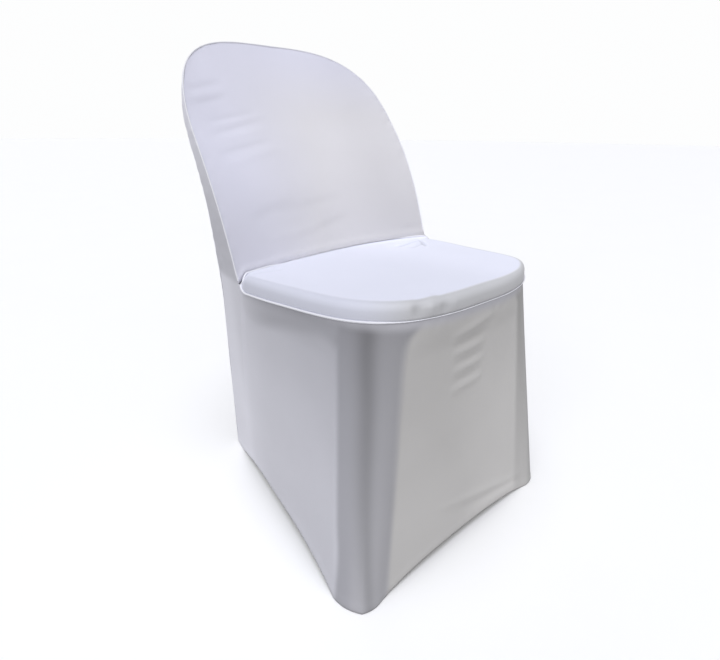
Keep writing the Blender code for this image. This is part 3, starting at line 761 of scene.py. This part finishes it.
def make_back_front(material):
    bm = new_sheet()
    rows = back_rows(inside_y, BACK_ACROSS, BACK_UP, seam_row(BACK_ACROSS))
    lay_grid(bm, rows, lambda i, j: (rows[j][i].x, (rows[j][i] - rows[0][i]).length))
    weld(bm)
    face_outward(bm, lambda face: Vector((0, -1, 0)))
    shade_mark, warm_mark = marks(bm, "shade", "painted_warm_light")
    # Painted shade and warm light on the inside of the back, and painted shade in its creases.
    for vert in bm.verts:
        vert[shade_mark], vert[warm_mark] = back_painted_shade(vert.co.x, vert.co.z)
        vert[shade_mark] *= painted_crease_shade(vert.co, BACK_FOLDS)

    def push(vert):
        spot = vert.co
        low = spot.z - seat_seam_z(spot.x)
        distance = max(min(low, from_side(spot)), 0.0)
        welt = SEAM_WELT * math.exp(-((low - SEAM_WELT_ABOVE) / SEAM_WELT_REACH) ** 2)
        return (fold_push(spot, BACK_FOLDS) + pucker(spot, distance) + welt
                + ripple(spot) * soft(distance / BACK_RIPPLE_FADE))

    press(bm, push)
    finish_sheet("back_front_cloth", bm, material, "back_front_panel")


def seam_xs(count):
    return [SEAM_HALF_WIDTH * (2 * i / count - 1) for i in range(count + 1)]


def seam_row(count):
    """The lowest row of the inside of the back, along the seat seam."""
    row = [Vector((x, inside_y(x, seat_seam_z(x)), seat_seam_z(x))) for x in seam_xs(count)]
    row[0], row[-1] = lip_point(0), lip_point(2 * LIP_LAST)
    return row


def back_rows(surface, wide, tall, first_row):
    """Rows of the inside or outside of the back, from the first one up to the round top edge."""
    rows = [first_row]
    cap_rows = round(tall * CAP_SHARE)
    side_rows = tall - cap_rows
    for step in range(1, side_rows + 1):
        row = []
        for i in range(wide + 1):
            u = 2 * i / wide - 1
            z = first_row[i].z + (GUSSET_TIP_Z - first_row[i].z) * step / side_rows
            x = half_width(z, u) * u
            row.append(Vector((x, surface(x, z), z)))
        rows.append(row)
    for step in range(1, cap_rows + 1):
        share = 1 - (1 - step / cap_rows) ** CAP_CROWDING
        row = []
        for i in range(wide + 1):
            u = 2 * i / wide - 1
            x = half_width(GUSSET_TIP_Z, u) * u
            z = GUSSET_TIP_Z + (arch_z(x) - GUSSET_TIP_Z) * share
            row.append(Vector((x, inside_y(x, z) if step == cap_rows else surface(x, z), z)))
        rows.append(row)
    return rows


def rear_rows():
    """Rows of the rear panel, from its hem up to the round top edge."""
    rows = []
    for step in range(REAR_DOWN, 0, -1):
        share = step / REAR_DOWN
        z = SEAM_Z * (1 - share)
        left, right = rear_corner_point(-1, z), rear_corner_point(1, z)
        row = []
        for i in range(BACK_ACROSS + 1):
            t = i / BACK_ACROSS
            spot = left.lerp(right, t)
            bend = soft(share / REAR_BEND_SHARE)
            seat_depth = outside_y(SEAM_HALF_WIDTH * (2 * t - 1), SEAM_Z) - REAR_CORNER[-1].y
            sink = PANEL_SINK * math.sqrt(math.sin(math.pi * t)) * (1 - share ** 2) if 0 < t < 1 else 0.0
            spot.y += seat_depth * (1 - bend) - sink * bend
            spot.z += hem_rise(rear_hem_share(t), REAR_HEM_RISE) * share ** HEM_RISE_POWER
            row.append(spot)
        rows.append(row)
    seat_row = [Vector((x, outside_y(x, SEAM_Z), SEAM_Z)) for x in seam_xs(BACK_ACROSS)]
    return rows + back_rows(outside_y, BACK_ACROSS, BACK_UP, seat_row)


REAR_SLANT = 0.4


def make_rear(material):
    bm = new_sheet()
    rows = rear_rows()
    lay_grid(bm, rows, lambda i, j: (rows[j][i].x, rows[j][i].z + rows[j][i].y * REAR_SLANT))
    weld(bm)
    face_outward(bm, lambda face: Vector((0, 1, 0)))
    hem_mark, shade_mark = marks(bm, "hem", "shade")
    for vert in bm.verts:
        t = 0.5 + 0.5 * vert.co.x / REAR_CORNER[0].x
        vert[hem_mark] = vert.co.z - hem_rise(rear_hem_share(t), REAR_HEM_RISE)
        vert[shade_mark] = rear_painted_shade(vert.co)

    def push(vert):
        side = max(from_side(vert.co), 0.0)
        folds = fold_push(Vector((vert.co.x, 0.0, vert.co.z)), REAR_FOLDS)
        slow = ripple(vert.co) * soft(side / RIPPLE_FADE)
        return hem_push(vert[hem_mark]) + folds + slow + pucker(vert.co, side)

    press(bm, push)
    finish_sheet("rear_cloth", bm, material, "rear_panel")


# Painted shade over the rear legs.
REAR_LEG_REACH = 0.030
REAR_LEG_SOFTNESS = 0.010
REAR_SEAT_SOFTNESS = 0.030
REAR_LEG_SHADE = 0.80


def rear_painted_shade(spot):
    """Painted light on the rear panel on the back above the seat, and painted shade over the rear legs below
    it.
    """
    side = half_width(min(spot.z, SEAM_Z), spot.x) - abs(spot.x)
    leg = edge_mask(REAR_LEG_REACH - side, REAR_LEG_SOFTNESS)
    high = edge_mask(spot.z - SEAM_Z, REAR_SEAT_SOFTNESS)
    low_shade = 1.0 + (REAR_LEG_SHADE - 1.0) * leg
    return low_shade + (REAR_SHADE - low_shade) * high


def rear_hem_share(t):
    """Share of the way between the rear feet."""
    width = 2 * REAR_CORNER[0].x
    return (t * width - FOOT_HOLD) / (width - 2 * FOOT_HOLD)


def seat_top_z(y):
    return SEAT_TOP_FRONT_Z - SEAT_TOP_FALL * (y - LIP_FRONT_Y)


SEAT_RIM = 2 * LIP_LAST
LIP_TURN = 0.75
CORNER_ROUND_REACH = 0.018
CORNER_ROUND = 0.006


def seat_edge(turn):
    """A point of the seat's edge at a share of the way round, and whether it is on the lip."""
    if turn <= LIP_TURN:
        edge, on_lip = lip_point(SEAT_RIM * turn / LIP_TURN), 1.0
    else:
        back = (turn - LIP_TURN) / (1 - LIP_TURN)
        x = SEAM_HALF_WIDTH * (1 - 2 * back)
        z = seat_seam_z(x)
        edge, on_lip = Vector((x, inside_y(x, z), z)), 0.0
    for corner in (lip_point(0), lip_point(SEAT_RIM)):
        near = max(1 - (edge - corner).length / CORNER_ROUND_REACH, 0.0)
        inward = Vector((SEAT_MIDDLE.x - corner.x, SEAT_MIDDLE.y - corner.y, 0.0)).normalized()
        edge = edge + inward * CORNER_ROUND * near * near
    return edge, on_lip


SEAM_GROOVE = 0.0006
SEAM_GROOVE_REACH = 0.0030
RIGHT_CRISPNESS = 0.40
# Painted shade on the seat's turned band, darkest at the front, painted light towards the right of the seat,
# and painted warm light on the front of the band.
SEAT_BAND_SHADE = 0.80
SEAT_FRONT_BAND_SHADE = 0.70
SEAT_RIGHT_SHADE = 1.10
SEAT_BAND_WARMTH = 1.2


def make_seat(material):
    """A square grid drawn out to the seat's edge, with a narrow turned edge below the lip."""
    bm = new_sheet()
    made = bmesh.ops.create_grid(bm, x_segments=SEAT_STEPS, y_segments=SEAT_STEPS, size=1.0)
    across, along, shade_mark, warm_mark = marks(bm, "across", "along", "shade", "painted_warm_light")
    middle = Vector((SEAT_MIDDLE.x, SEAT_MIDDLE.y, 0.0))
    for vert in made["verts"]:
        a, b = vert.co.x, vert.co.y
        edge, on_lip = seat_edge(square_turn(a, b))
        rim = Vector((edge.x, edge.y, 0.0))
        run = (rim - middle).length
        from_edge = run * (1 - max(abs(a), abs(b))) ** RIM_CROWDING
        spot = rim.lerp(middle, from_edge / run)
        near_end = falling(edge.y, LIP_PLAN[0].y, LIP_RISE_REACH) if on_lip else 1.0
        top = edge.z + LIP_HEIGHT * near_end * on_lip
        rounding = SEAT_ROUND * (1 - RIGHT_CRISPNESS * rising(edge.x, 0.02, 0.12) * on_lip)
        part = max(1 - from_edge / rounding, 0.0)
        round_fall = 1 - (1 - part ** SEAT_ROUND_POWER) ** (1 / SEAT_ROUND_POWER)
        fall = round_fall * near_end + part * part * (1 - near_end) if on_lip else part * part
        spot.z = seat_top_z(spot.y) - (seat_top_z(edge.y) - top) * fall
        spot.z -= SEAM_GROOVE * (1 - on_lip * near_end) * math.exp(-(from_edge / SEAM_GROOVE_REACH) ** 2)
        vert.co = spot
        vert[across], vert[along] = spot.x, spot.y
        # Painted shade on the turned band, painted light to the right, and painted shade in the creases.
        band = on_lip * near_end * soft((1.10 - from_edge / rounding) / 0.5)
        in_front = rising(-spot.y, 0.10, 0.08) * rising(spot.x, -0.19, 0.09)
        band_shade = SEAT_BAND_SHADE + (SEAT_FRONT_BAND_SHADE - SEAT_BAND_SHADE) * in_front
        right = 1 + (SEAT_RIGHT_SHADE - 1) * rising(spot.x, -0.02, 0.15)
        vert[shade_mark] = (1 + (band_shade - 1) * band) * right * painted_crease_shade(spot, SEAT_FOLDS)
        vert[warm_mark] = SEAT_BAND_WARMTH * band * in_front
    turned = bmesh.ops.extrude_edge_only(bm, edges=[edge for edge in bm.edges if edge.is_boundary])
    for item in turned["geom"]:
        if isinstance(item, bmesh.types.BMVert):
            item.co.z -= LIP_HEIGHT
    weld(bm)
    face_outward(bm, lambda face: Vector((0, 0, 1)))

    def push(vert):
        reach = (Vector((vert.co.x, vert.co.y, 0)) - middle).length
        slow = ripple(vert.co, SEAT_RIPPLE_HEIGHT) * soft(reach / RIPPLE_FADE)
        return fold_push(vert.co, SEAT_FOLDS) + slow

    press(bm, push)
    finish_sheet("seat_cloth", bm, material, "seat_panel")


def square_turn(a, b):
    """Share of the way round a square for a point of it, from its left rear corner along the front."""
    if max(abs(a), abs(b)) < 1e-9:
        return 0.0
    if abs(a) >= abs(b):
        side = (0.125 - 0.125 * b / abs(a)) if a < 0 else (0.625 + 0.125 * b / abs(a))
    else:
        side = (0.375 + 0.125 * a / abs(b)) if b < 0 else (0.875 - 0.125 * a / abs(b))
    return side % 1.0


POCKET_EDGE = 0.0005
Cut = namedtuple("Cut", "flat area")


def make_pocket(node, material):
    """A foot pocket: a doubled patch of knit, as thick as its solid and softened along its edges."""
    bm = bmesh.new()
    bm.from_mesh(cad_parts[node].data)
    weld(bm)
    bmesh.ops.dissolve_limit(bm, angle_limit=math.radians(1.0), verts=bm.verts[:], edges=bm.edges[:])
    rim = [edge for edge in bm.edges if edge.calc_face_angle(0.0) > math.radians(60)]
    bmesh.ops.bevel(bm, geom=rim, offset=POCKET_EDGE, segments=2, profile=0.5, affect="EDGES", material=-1)
    for face in bm.faces:
        face.smooth = True
    mesh = mesh_of(node + "_cloth", bm, material)
    mesh.set_sharp_from_angle(angle=math.radians(40))
    piece = put_in_scene(node + "_cloth", mesh)
    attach(piece, "root")
    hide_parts(node)


SEAM_SIDES = 2


def seam_roll(name, path, radius_of, material, closed=False):
    """A thin overlocked seam that follows a path of points."""
    line = bpy.data.curves.new(name + "_path", "CURVE")
    line.dimensions = "3D"
    line.bevel_depth = 1.0
    line.bevel_resolution = SEAM_SIDES
    line.use_fill_caps = not closed
    run = line.splines.new("POLY")
    run.use_cyclic_u = closed
    run.points.add(len(path) - 1)
    for number, (point, spot) in enumerate(zip(run.points, path)):
        point.co = (spot.x, spot.y - MIDDLE_Y, spot.z, 1.0)
        point.radius = radius_of(spot)
    guide = put_in_scene(name + "_path", line)
    mesh = bpy.data.meshes.new_from_object(guide.evaluated_get(bpy.context.evaluated_depsgraph_get()))
    bpy.data.objects.remove(guide)
    mesh.name = name
    mesh.materials.clear()
    mesh.materials.append(material)
    mesh.shade_smooth()
    piece = put_in_scene(name, mesh)
    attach(piece, "root")
    return piece


ROLL_OUT = 0.0010
ROLL_LIFT = 0.0006
WELT_LIFT = 0.0036
WELT_END_X = 0.13
WELT_FADE = 0.04
ROLL_POINTS = 900
ARCH_LOW_Z = 0.70
ARCH_POINTS = 240
PATH_STEP = 0.004
REAR_SEAM_LOW_Z = 0.003
SEAT_SEAM_RADIUS = 0.0018
FRONT_THINNING = 0.0011
REAR_THINNING = 0.0014
ARCH_SEAM_RADIUS = 0.0012
ARCH_SEAM_SWELL = 0.0005
ARCH_SWELL_REACH = 0.012
REAR_SEAM_RADIUS = 0.0007


def seat_seam_path():
    """The seam all round the seat: along the lip, and back between seat and back."""
    path = []
    for step in range(ROLL_POINTS):
        turn = step / ROLL_POINTS
        edge, on_lip = seat_edge(turn)
        if on_lip:
            path.append(edge + lip_outward(SEAT_RIM * turn / LIP_TURN) * ROLL_OUT)
        else:
            lift = ROLL_LIFT + WELT_LIFT * falling(edge.x, -WELT_END_X, WELT_FADE)
            path.append(edge + Vector((0.0, -lift, lift)))
    return path


def arch_side(side):
    """One side of the seam round the back, below where it turns over the top."""
    spots = []
    for z in heights(SEAM_Z, ARCH_LOW_Z):
        x = half_width(z, side)
        spots.append(Vector((side * x, inside_y(x, z), z)))
    return spots


def arch_path():
    over = []
    low_left, low_right = half_width(ARCH_LOW_Z, -1), half_width(ARCH_LOW_Z, 1)
    for step in range(1, ARCH_POINTS):
        turn = math.pi * step / ARCH_POINTS
        x = -math.cos(turn) * (low_left if turn < math.pi / 2 else low_right)
        over.append(Vector((x, inside_y(x, arch_z(x)), arch_z(x))))
    return arch_side(-1) + over + arch_side(1)[::-1]


def heights(low, high):
    count = round((high - low) / PATH_STEP)
    return [low + (high - low) * step / count for step in range(count + 1)]


def rear_seam_path(side):
    below = [rear_corner_point(side, z) for z in heights(REAR_SEAM_LOW_Z, SEAM_Z)]
    above = []
    for z in heights(SEAM_Z, GUSSET_TIP_Z)[1:]:
        x = side * half_width(z, side)
        above.append(Vector((x, outside_y(x, z), z)))
    return below + above


def seat_seam_radius(spot):
    """The seat's seam is full at the sides and at both rear corners, and drawn thin in front and behind."""
    front = rising(-spot.y, 0.165, 0.045) * falling(spot.x, 0.215, 0.03)
    behind = rising(spot.y, 0.117, 0.008) * rising(spot.x, -0.150, 0.030) * falling(spot.x, 0.205, 0.060)
    return SEAT_SEAM_RADIUS - FRONT_THINNING * front - REAR_THINNING * behind


def arch_seam_radius(spot):
    """The seam round the back is a little fuller where the gussets run out."""
    near_tip = math.exp(-((spot.z - GUSSET_TIP_Z) / ARCH_SWELL_REACH) ** 2)
    return ARCH_SEAM_RADIUS + ARCH_SEAM_SWELL * near_tip


# Materials.
def node_group(name, inputs, outputs):
    """A group of nodes. An input is a number with its usual value, or a vector where that is None."""
    group = bpy.data.node_groups.new(name, "ShaderNodeTree")
    for label, value in inputs.items():
        kind = "NodeSocketVector" if value is None else "NodeSocketFloat"
        socket = group.interface.new_socket(name=label, in_out="INPUT", socket_type=kind)
        if value is not None:
            socket.default_value = value
    for label in outputs:
        group.interface.new_socket(name=label, in_out="OUTPUT", socket_type="NodeSocketFloat")
    return group, group.nodes.new("NodeGroupInput"), group.nodes.new("NodeGroupOutput")


def wire(source, target):
    source.id_data.links.new(source, target)


def set_inputs(node, values):
    for label, value in values.items():
        node.inputs[label].default_value = value


def math_node(tree, operation, one, two=None, three=None, clamp=False):
    node = tree.nodes.new("ShaderNodeMath")
    node.operation = operation
    node.use_clamp = clamp
    for socket, value in zip(node.inputs, (one, two, three)):
        if isinstance(value, (int, float)):
            socket.default_value = value
        elif value is not None:
            wire(value, socket)
    return node.outputs[0]


RIB_WIDTH = 0.0012
LOOP_LENGTH = 0.0009
RIB_SLIP = 0.8
RIB_SHARE = 0.6
LOOP_SHARE = 0.4


def knit_group():
    """Ribs and loops of a fine stretch knit, in metres across and along the cloth."""
    inputs = {"Across": 0.0, "Along": 0.0, "Rib": RIB_WIDTH, "Loop": LOOP_LENGTH}
    group, given, out = node_group("stretch knit", inputs, ("Height", "Tone"))
    calc = partial(math_node, group)
    ribs = calc("DIVIDE", given.outputs["Across"], given.outputs["Rib"])
    ribs = calc("SINE", calc("MULTIPLY", ribs, math.tau))
    slip = calc("MULTIPLY", ribs, RIB_SLIP)
    loops = calc("DIVIDE", given.outputs["Along"], given.outputs["Loop"])
    loops = calc("ADD", calc("MULTIPLY", loops, math.tau), slip)
    loops = calc("MULTIPLY", calc("SINE", loops), LOOP_SHARE)
    height = calc("ADD", calc("MULTIPLY", ribs, RIB_SHARE), loops)
    wire(height, out.inputs["Height"])
    wire(calc("MULTIPLY_ADD", height, 0.5, 0.5), out.inputs["Tone"])
    return group


def fibre_group():
    """Slow unevenness of the dye and fine fuzz of the fibres."""
    inputs = {"Place": None, "Patches": 9.0, "Fuzz": 700.0}
    group, given, out = node_group("cloth unevenness", inputs, ("Patch", "Fuzz"))
    for scale, made, detail in (("Patches", "Patch", 3.0), ("Fuzz", "Fuzz", 2.0)):
        cloud = group.nodes.new("ShaderNodeTexNoise")
        cloud.inputs["Detail"].default_value = detail
        wire(given.outputs["Place"], cloud.inputs["Vector"])
        wire(given.outputs[scale], cloud.inputs["Scale"])
        wire(cloud.outputs["Fac"], out.inputs[made])
    return group


def attribute(tree, name):
    node = tree.nodes.new("ShaderNodeAttribute")
    node.attribute_name = name
    return node.outputs["Fac"]


def blend_colour(tree, factor, one, two, mode="MIX"):
    node = tree.nodes.new("ShaderNodeMix")
    node.data_type = "RGBA"
    node.blend_type = mode
    sockets = [socket for socket in node.inputs if socket.enabled]
    for socket, value in zip(sockets, (factor, one, two)):
        if isinstance(value, (tuple, float)):
            socket.default_value = value
        else:
            wire(value, socket)
    return [socket for socket in node.outputs if socket.enabled][0]


def new_material(name):
    """A new material, with its node tree and its shader."""
    material = bpy.data.materials.new(name)
    material.use_nodes = True
    return material, material.node_tree, material.node_tree.nodes["Principled BSDF"]


def raise_surface(tree, shader, height, strength, distance):
    bump = tree.nodes.new("ShaderNodeBump")
    set_inputs(bump, {"Strength": strength, "Distance": distance})
    wire(height, bump.inputs["Height"])
    wire(bump.outputs["Normal"], shader.inputs["Normal"])


# How the dye turns warmer where painted warm light falls.
WARM_BLUE = 0.895
WARM_GREEN = 0.985
STITCH_INSET = 0.002
STITCH_HALF_WIDTH = 0.0008
STITCH_LENGTH = 0.0032
STITCH_DEPTH = 5.0
FUZZ_HEIGHT = 0.7


def knit_material(name, dye, knit, fibre, roughness=0.62):
    """White stretch knit, drawn greyer as painted shade where it is stretched over the frame below it, with
    painted light and painted warm light where the mesh marks them.
    """
    material, tree, shader = new_material(name)
    cloth = tree.nodes.new("ShaderNodeUVMap")
    cloth.uv_map = "cloth"
    parts = tree.nodes.new("ShaderNodeSeparateXYZ")
    wire(cloth.outputs["UV"], parts.inputs["Vector"])
    place = tree.nodes.new("ShaderNodeTexCoord")
    ribs = tree.nodes.new("ShaderNodeGroup")
    ribs.node_tree = knit
    wire(parts.outputs["X"], ribs.inputs["Across"])
    wire(parts.outputs["Y"], ribs.inputs["Along"])
    uneven = tree.nodes.new("ShaderNodeGroup")
    uneven.node_tree = fibre
    wire(place.outputs["Object"], uneven.inputs["Place"])
    calc = partial(math_node, tree)
    patch = calc("MULTIPLY_ADD", uneven.outputs["Patch"], 0.06, 0.97)
    tone = calc("MULTIPLY_ADD", ribs.outputs["Tone"], 0.03, 0.985)
    # The painted light and shade of the mesh multiply the knit's own tone.
    patch = calc("MULTIPLY", calc("MULTIPLY", patch, tone), attribute(tree, "shade"))
    grey = tree.nodes.new("ShaderNodeCombineColor")
    for channel in ("Red", "Green", "Blue"):
        wire(patch, grey.inputs[channel])
    warm_dye = (dye[0], dye[1] * WARM_GREEN, dye[2] * WARM_BLUE, 1.0)
    tinted = blend_colour(tree, attribute(tree, "painted_warm_light"), (*dye, 1.0), warm_dye)
    colour = blend_colour(tree, 1.0, tinted, grey.outputs["Color"], "MULTIPLY")
    wire(colour, shader.inputs["Base Color"])
    rough = calc("MULTIPLY_ADD", uneven.outputs["Fuzz"], 0.12, roughness - 0.06)
    wire(rough, shader.inputs["Roughness"])
    set_inputs(shader, {"Sheen Weight": 0.18, "Sheen Roughness": 0.45, "Specular IOR Level": 0.35})
    from_stitch = calc("SUBTRACT", attribute(tree, "hem"), HEM_WIDTH - STITCH_INSET)
    from_stitch = calc("DIVIDE", calc("ABSOLUTE", from_stitch), STITCH_HALF_WIDTH)
    stitch = calc("SUBTRACT", 1.0, from_stitch, clamp=True)
    dash = calc("MULTIPLY", parts.outputs["X"], math.tau / STITCH_LENGTH)
    dash = calc("MULTIPLY_ADD", calc("SINE", dash), 0.5, 0.5)
    stitch = calc("MULTIPLY", calc("MULTIPLY", stitch, dash), STITCH_DEPTH)
    fuzz = calc("MULTIPLY", uneven.outputs["Fuzz"], FUZZ_HEIGHT)
    height = calc("ADD", ribs.outputs["Height"], fuzz)
    height = calc("SUBTRACT", height, stitch)
    raise_surface(tree, shader, height, 0.35, 0.00012)
    return material


def thread_material(name, colour):
    """Overlock thread wound over a rolled seam."""
    material, tree, shader = new_material(name)
    place = tree.nodes.new("ShaderNodeTexCoord")
    wound = tree.nodes.new("ShaderNodeTexWave")
    wound.wave_type = "BANDS"
    wound.bands_direction = "DIAGONAL"
    set_inputs(wound, {"Scale": 260.0, "Distortion": 1.5})
    wire(place.outputs["Object"], wound.inputs["Vector"])
    shade = blend_colour(tree, wound.outputs["Fac"], (*[c * 0.86 for c in colour], 1.0), (*colour, 1.0))
    wire(shade, shader.inputs["Base Color"])
    set_inputs(shader, {"Roughness": 0.6, "Sheen Weight": 0.15})
    raise_surface(tree, shader, wound.outputs["Fac"], 0.5, 0.0003)
    return material


# Camera and light.
CAMERA_SPOT = Vector((-0.49364, -0.56192 - MIDDLE_Y, 0.68452))
CAMERA_YAW = 0.68157
CAMERA_PITCH = 0.43367
CAMERA_ROLL = 0.01078
FOCAL_PIXELS = 429.985
IMAGE_WIDTH, IMAGE_HEIGHT = 720, 660
CENTRE_X, CENTRE_Y = 367.04, 327.35
SENSOR_WIDTH = 36.0


def aim_camera():
    forward = Vector((math.sin(CAMERA_YAW) * math.cos(CAMERA_PITCH),
                      math.cos(CAMERA_YAW) * math.cos(CAMERA_PITCH), -math.sin(CAMERA_PITCH)))
    right = Vector((math.cos(CAMERA_YAW), -math.sin(CAMERA_YAW), 0.0))
    up = right.cross(forward)
    across = right * math.cos(CAMERA_ROLL) + up * math.sin(CAMERA_ROLL)
    upward = up * math.cos(CAMERA_ROLL) - right * math.sin(CAMERA_ROLL)
    lens = bpy.data.cameras.new("studio camera")
    lens.sensor_width = SENSOR_WIDTH
    lens.lens = FOCAL_PIXELS / IMAGE_WIDTH * SENSOR_WIDTH
    lens.shift_x = (IMAGE_WIDTH / 2 - CENTRE_X) / IMAGE_WIDTH
    lens.shift_y = -(IMAGE_HEIGHT / 2 - CENTRE_Y) / IMAGE_WIDTH
    lens.clip_start = 0.01
    camera = put_in_scene("studio camera", lens)
    turn = Matrix((across, upward, -forward)).transposed().to_4x4()
    camera.matrix_world = Matrix.Translation(CAMERA_SPOT) @ turn
    bpy.context.scene.camera = camera


def soft_sun(name, toward, strength, spread, colour):
    """A wide, distant lamp, as even as a large softbox, that shines along a direction."""
    lamp = bpy.data.lights.new(name, "SUN")
    lamp.energy = strength
    lamp.angle = math.radians(spread)
    lamp.color = colour
    sun = put_in_scene(name, lamp)
    sun.rotation_euler = Vector(toward).to_track_quat("-Z", "Y").to_euler()


def part_camera_rays(tree, others, seen, output):
    """Give one shader to the camera's rays and another to all the others."""
    path = tree.nodes.new("ShaderNodeLightPath")
    either = tree.nodes.new("ShaderNodeMixShader")
    wire(path.outputs["Is Camera Ray"], either.inputs["Fac"])
    wire(others, either.inputs[1])
    wire(seen, either.inputs[2])
    wire(either.outputs["Shader"], tree.nodes[output].inputs["Surface"])


FLOOR_BOUNCE = 0.42
FLOOR_DROP = 0.0005


def lay_floor():
    """A pale floor, which throws less light back on the cover than the camera sees in it."""
    bm = bmesh.new()
    bmesh.ops.create_circle(bm, cap_ends=True, segments=96, radius=30.0)
    material, tree, shader = new_material("pale studio floor")
    place = tree.nodes.new("ShaderNodeTexCoord")
    cloud = tree.nodes.new("ShaderNodeTexNoise")
    cloud.inputs["Scale"].default_value = 3.0
    wire(place.outputs["Object"], cloud.inputs["Vector"])
    wire(blend_colour(tree, cloud.outputs["Fac"], (0.975, 0.97, 0.955, 1), (0.99, 0.985, 0.97, 1)),
                   shader.inputs["Base Color"])
    set_inputs(shader, {"Roughness": 0.8, "Specular IOR Level": 0.2})
    bounce = tree.nodes.new("ShaderNodeBsdfDiffuse")
    bounce.inputs["Color"].default_value = (FLOOR_BOUNCE, FLOOR_BOUNCE, FLOOR_BOUNCE, 1.0)
    part_camera_rays(tree, bounce.outputs["BSDF"], shader.outputs["BSDF"], "Material Output")
    floor = put_in_scene("studio_floor", mesh_of("studio floor", bm, material))
    floor.location.z = -FLOOR_DROP


def light_studio():
    world = bpy.data.worlds.new("white studio")
    world.use_nodes = True
    tree = world.node_tree
    sky = tree.nodes["Background"]
    set_inputs(sky, {"Color": (1.0, 1.0, 1.0, 1.0), "Strength": 0.368})
    seen = tree.nodes.new("ShaderNodeBackground")
    set_inputs(seen, {"Color": (0.985, 0.988, 0.99, 1.0), "Strength": 1.0})
    part_camera_rays(tree, sky.outputs["Background"], seen.outputs["Background"], "World Output")
    bpy.context.scene.world = world
    bpy.context.scene.view_settings.view_transform = "Standard"
    soft_sun("overhead light", (0.10, 0.05, -1.0), 1.42, 40, (0.92, 0.95, 1.05))
    soft_sun("left light", (0.80, 0.62, -0.60), 1.26, 65, (0.955, 0.96, 1.0))
    soft_sun("front fill", (0.1, 1.0, -0.3), 0.158, 60, (1.0, 0.96, 0.90))
    soft_sun("rear fill", (-0.25, -1.0, -0.12), 0.40, 60, (0.96, 0.97, 1.0))


def dress_cover():
    knit, fibre = knit_group(), fibre_group()
    # The back and the seat get paler, bluer dyes than the skirt: partly the knit's own bluish white, partly
    # painted light.
    body = knit_material("white stretch knit", (0.686, 0.681, 0.730), knit, fibre)
    back = knit_material("white knit of the back", (0.792, 0.788, 0.895), knit, fibre)
    seat = knit_material("white knit of the seat", (0.785, 0.797, 0.895), knit, fibre, 0.55)
    pocket = knit_material("doubled knit of the pockets", (0.67, 0.67, 0.70), knit, fibre, 0.75)
    thread = thread_material("white overlock thread", (0.86, 0.86, 0.90))
    for end in ("front", "rear"):
        for side in ("left", "right"):
            make_pocket(f"foot_pocket_{end}_{side}", pocket)
    seat_seam = seam_roll("seat_seam", seat_seam_path(), seat_seam_radius, thread, closed=True)
    arch_seam = seam_roll("arch_seam", arch_path(), arch_seam_radius, thread)
    rear_seams = [seam_roll(f"rear_seam_{name}", rear_seam_path(side), lambda spot: REAR_SEAM_RADIUS, thread)
                  for name, side in (("left", -1), ("right", 1))]
    make_skirt(body)
    make_back_front(back)
    make_rear(body)
    make_seat(seat)


aim_camera()
light_studio()
lay_floor()
dress_cover()
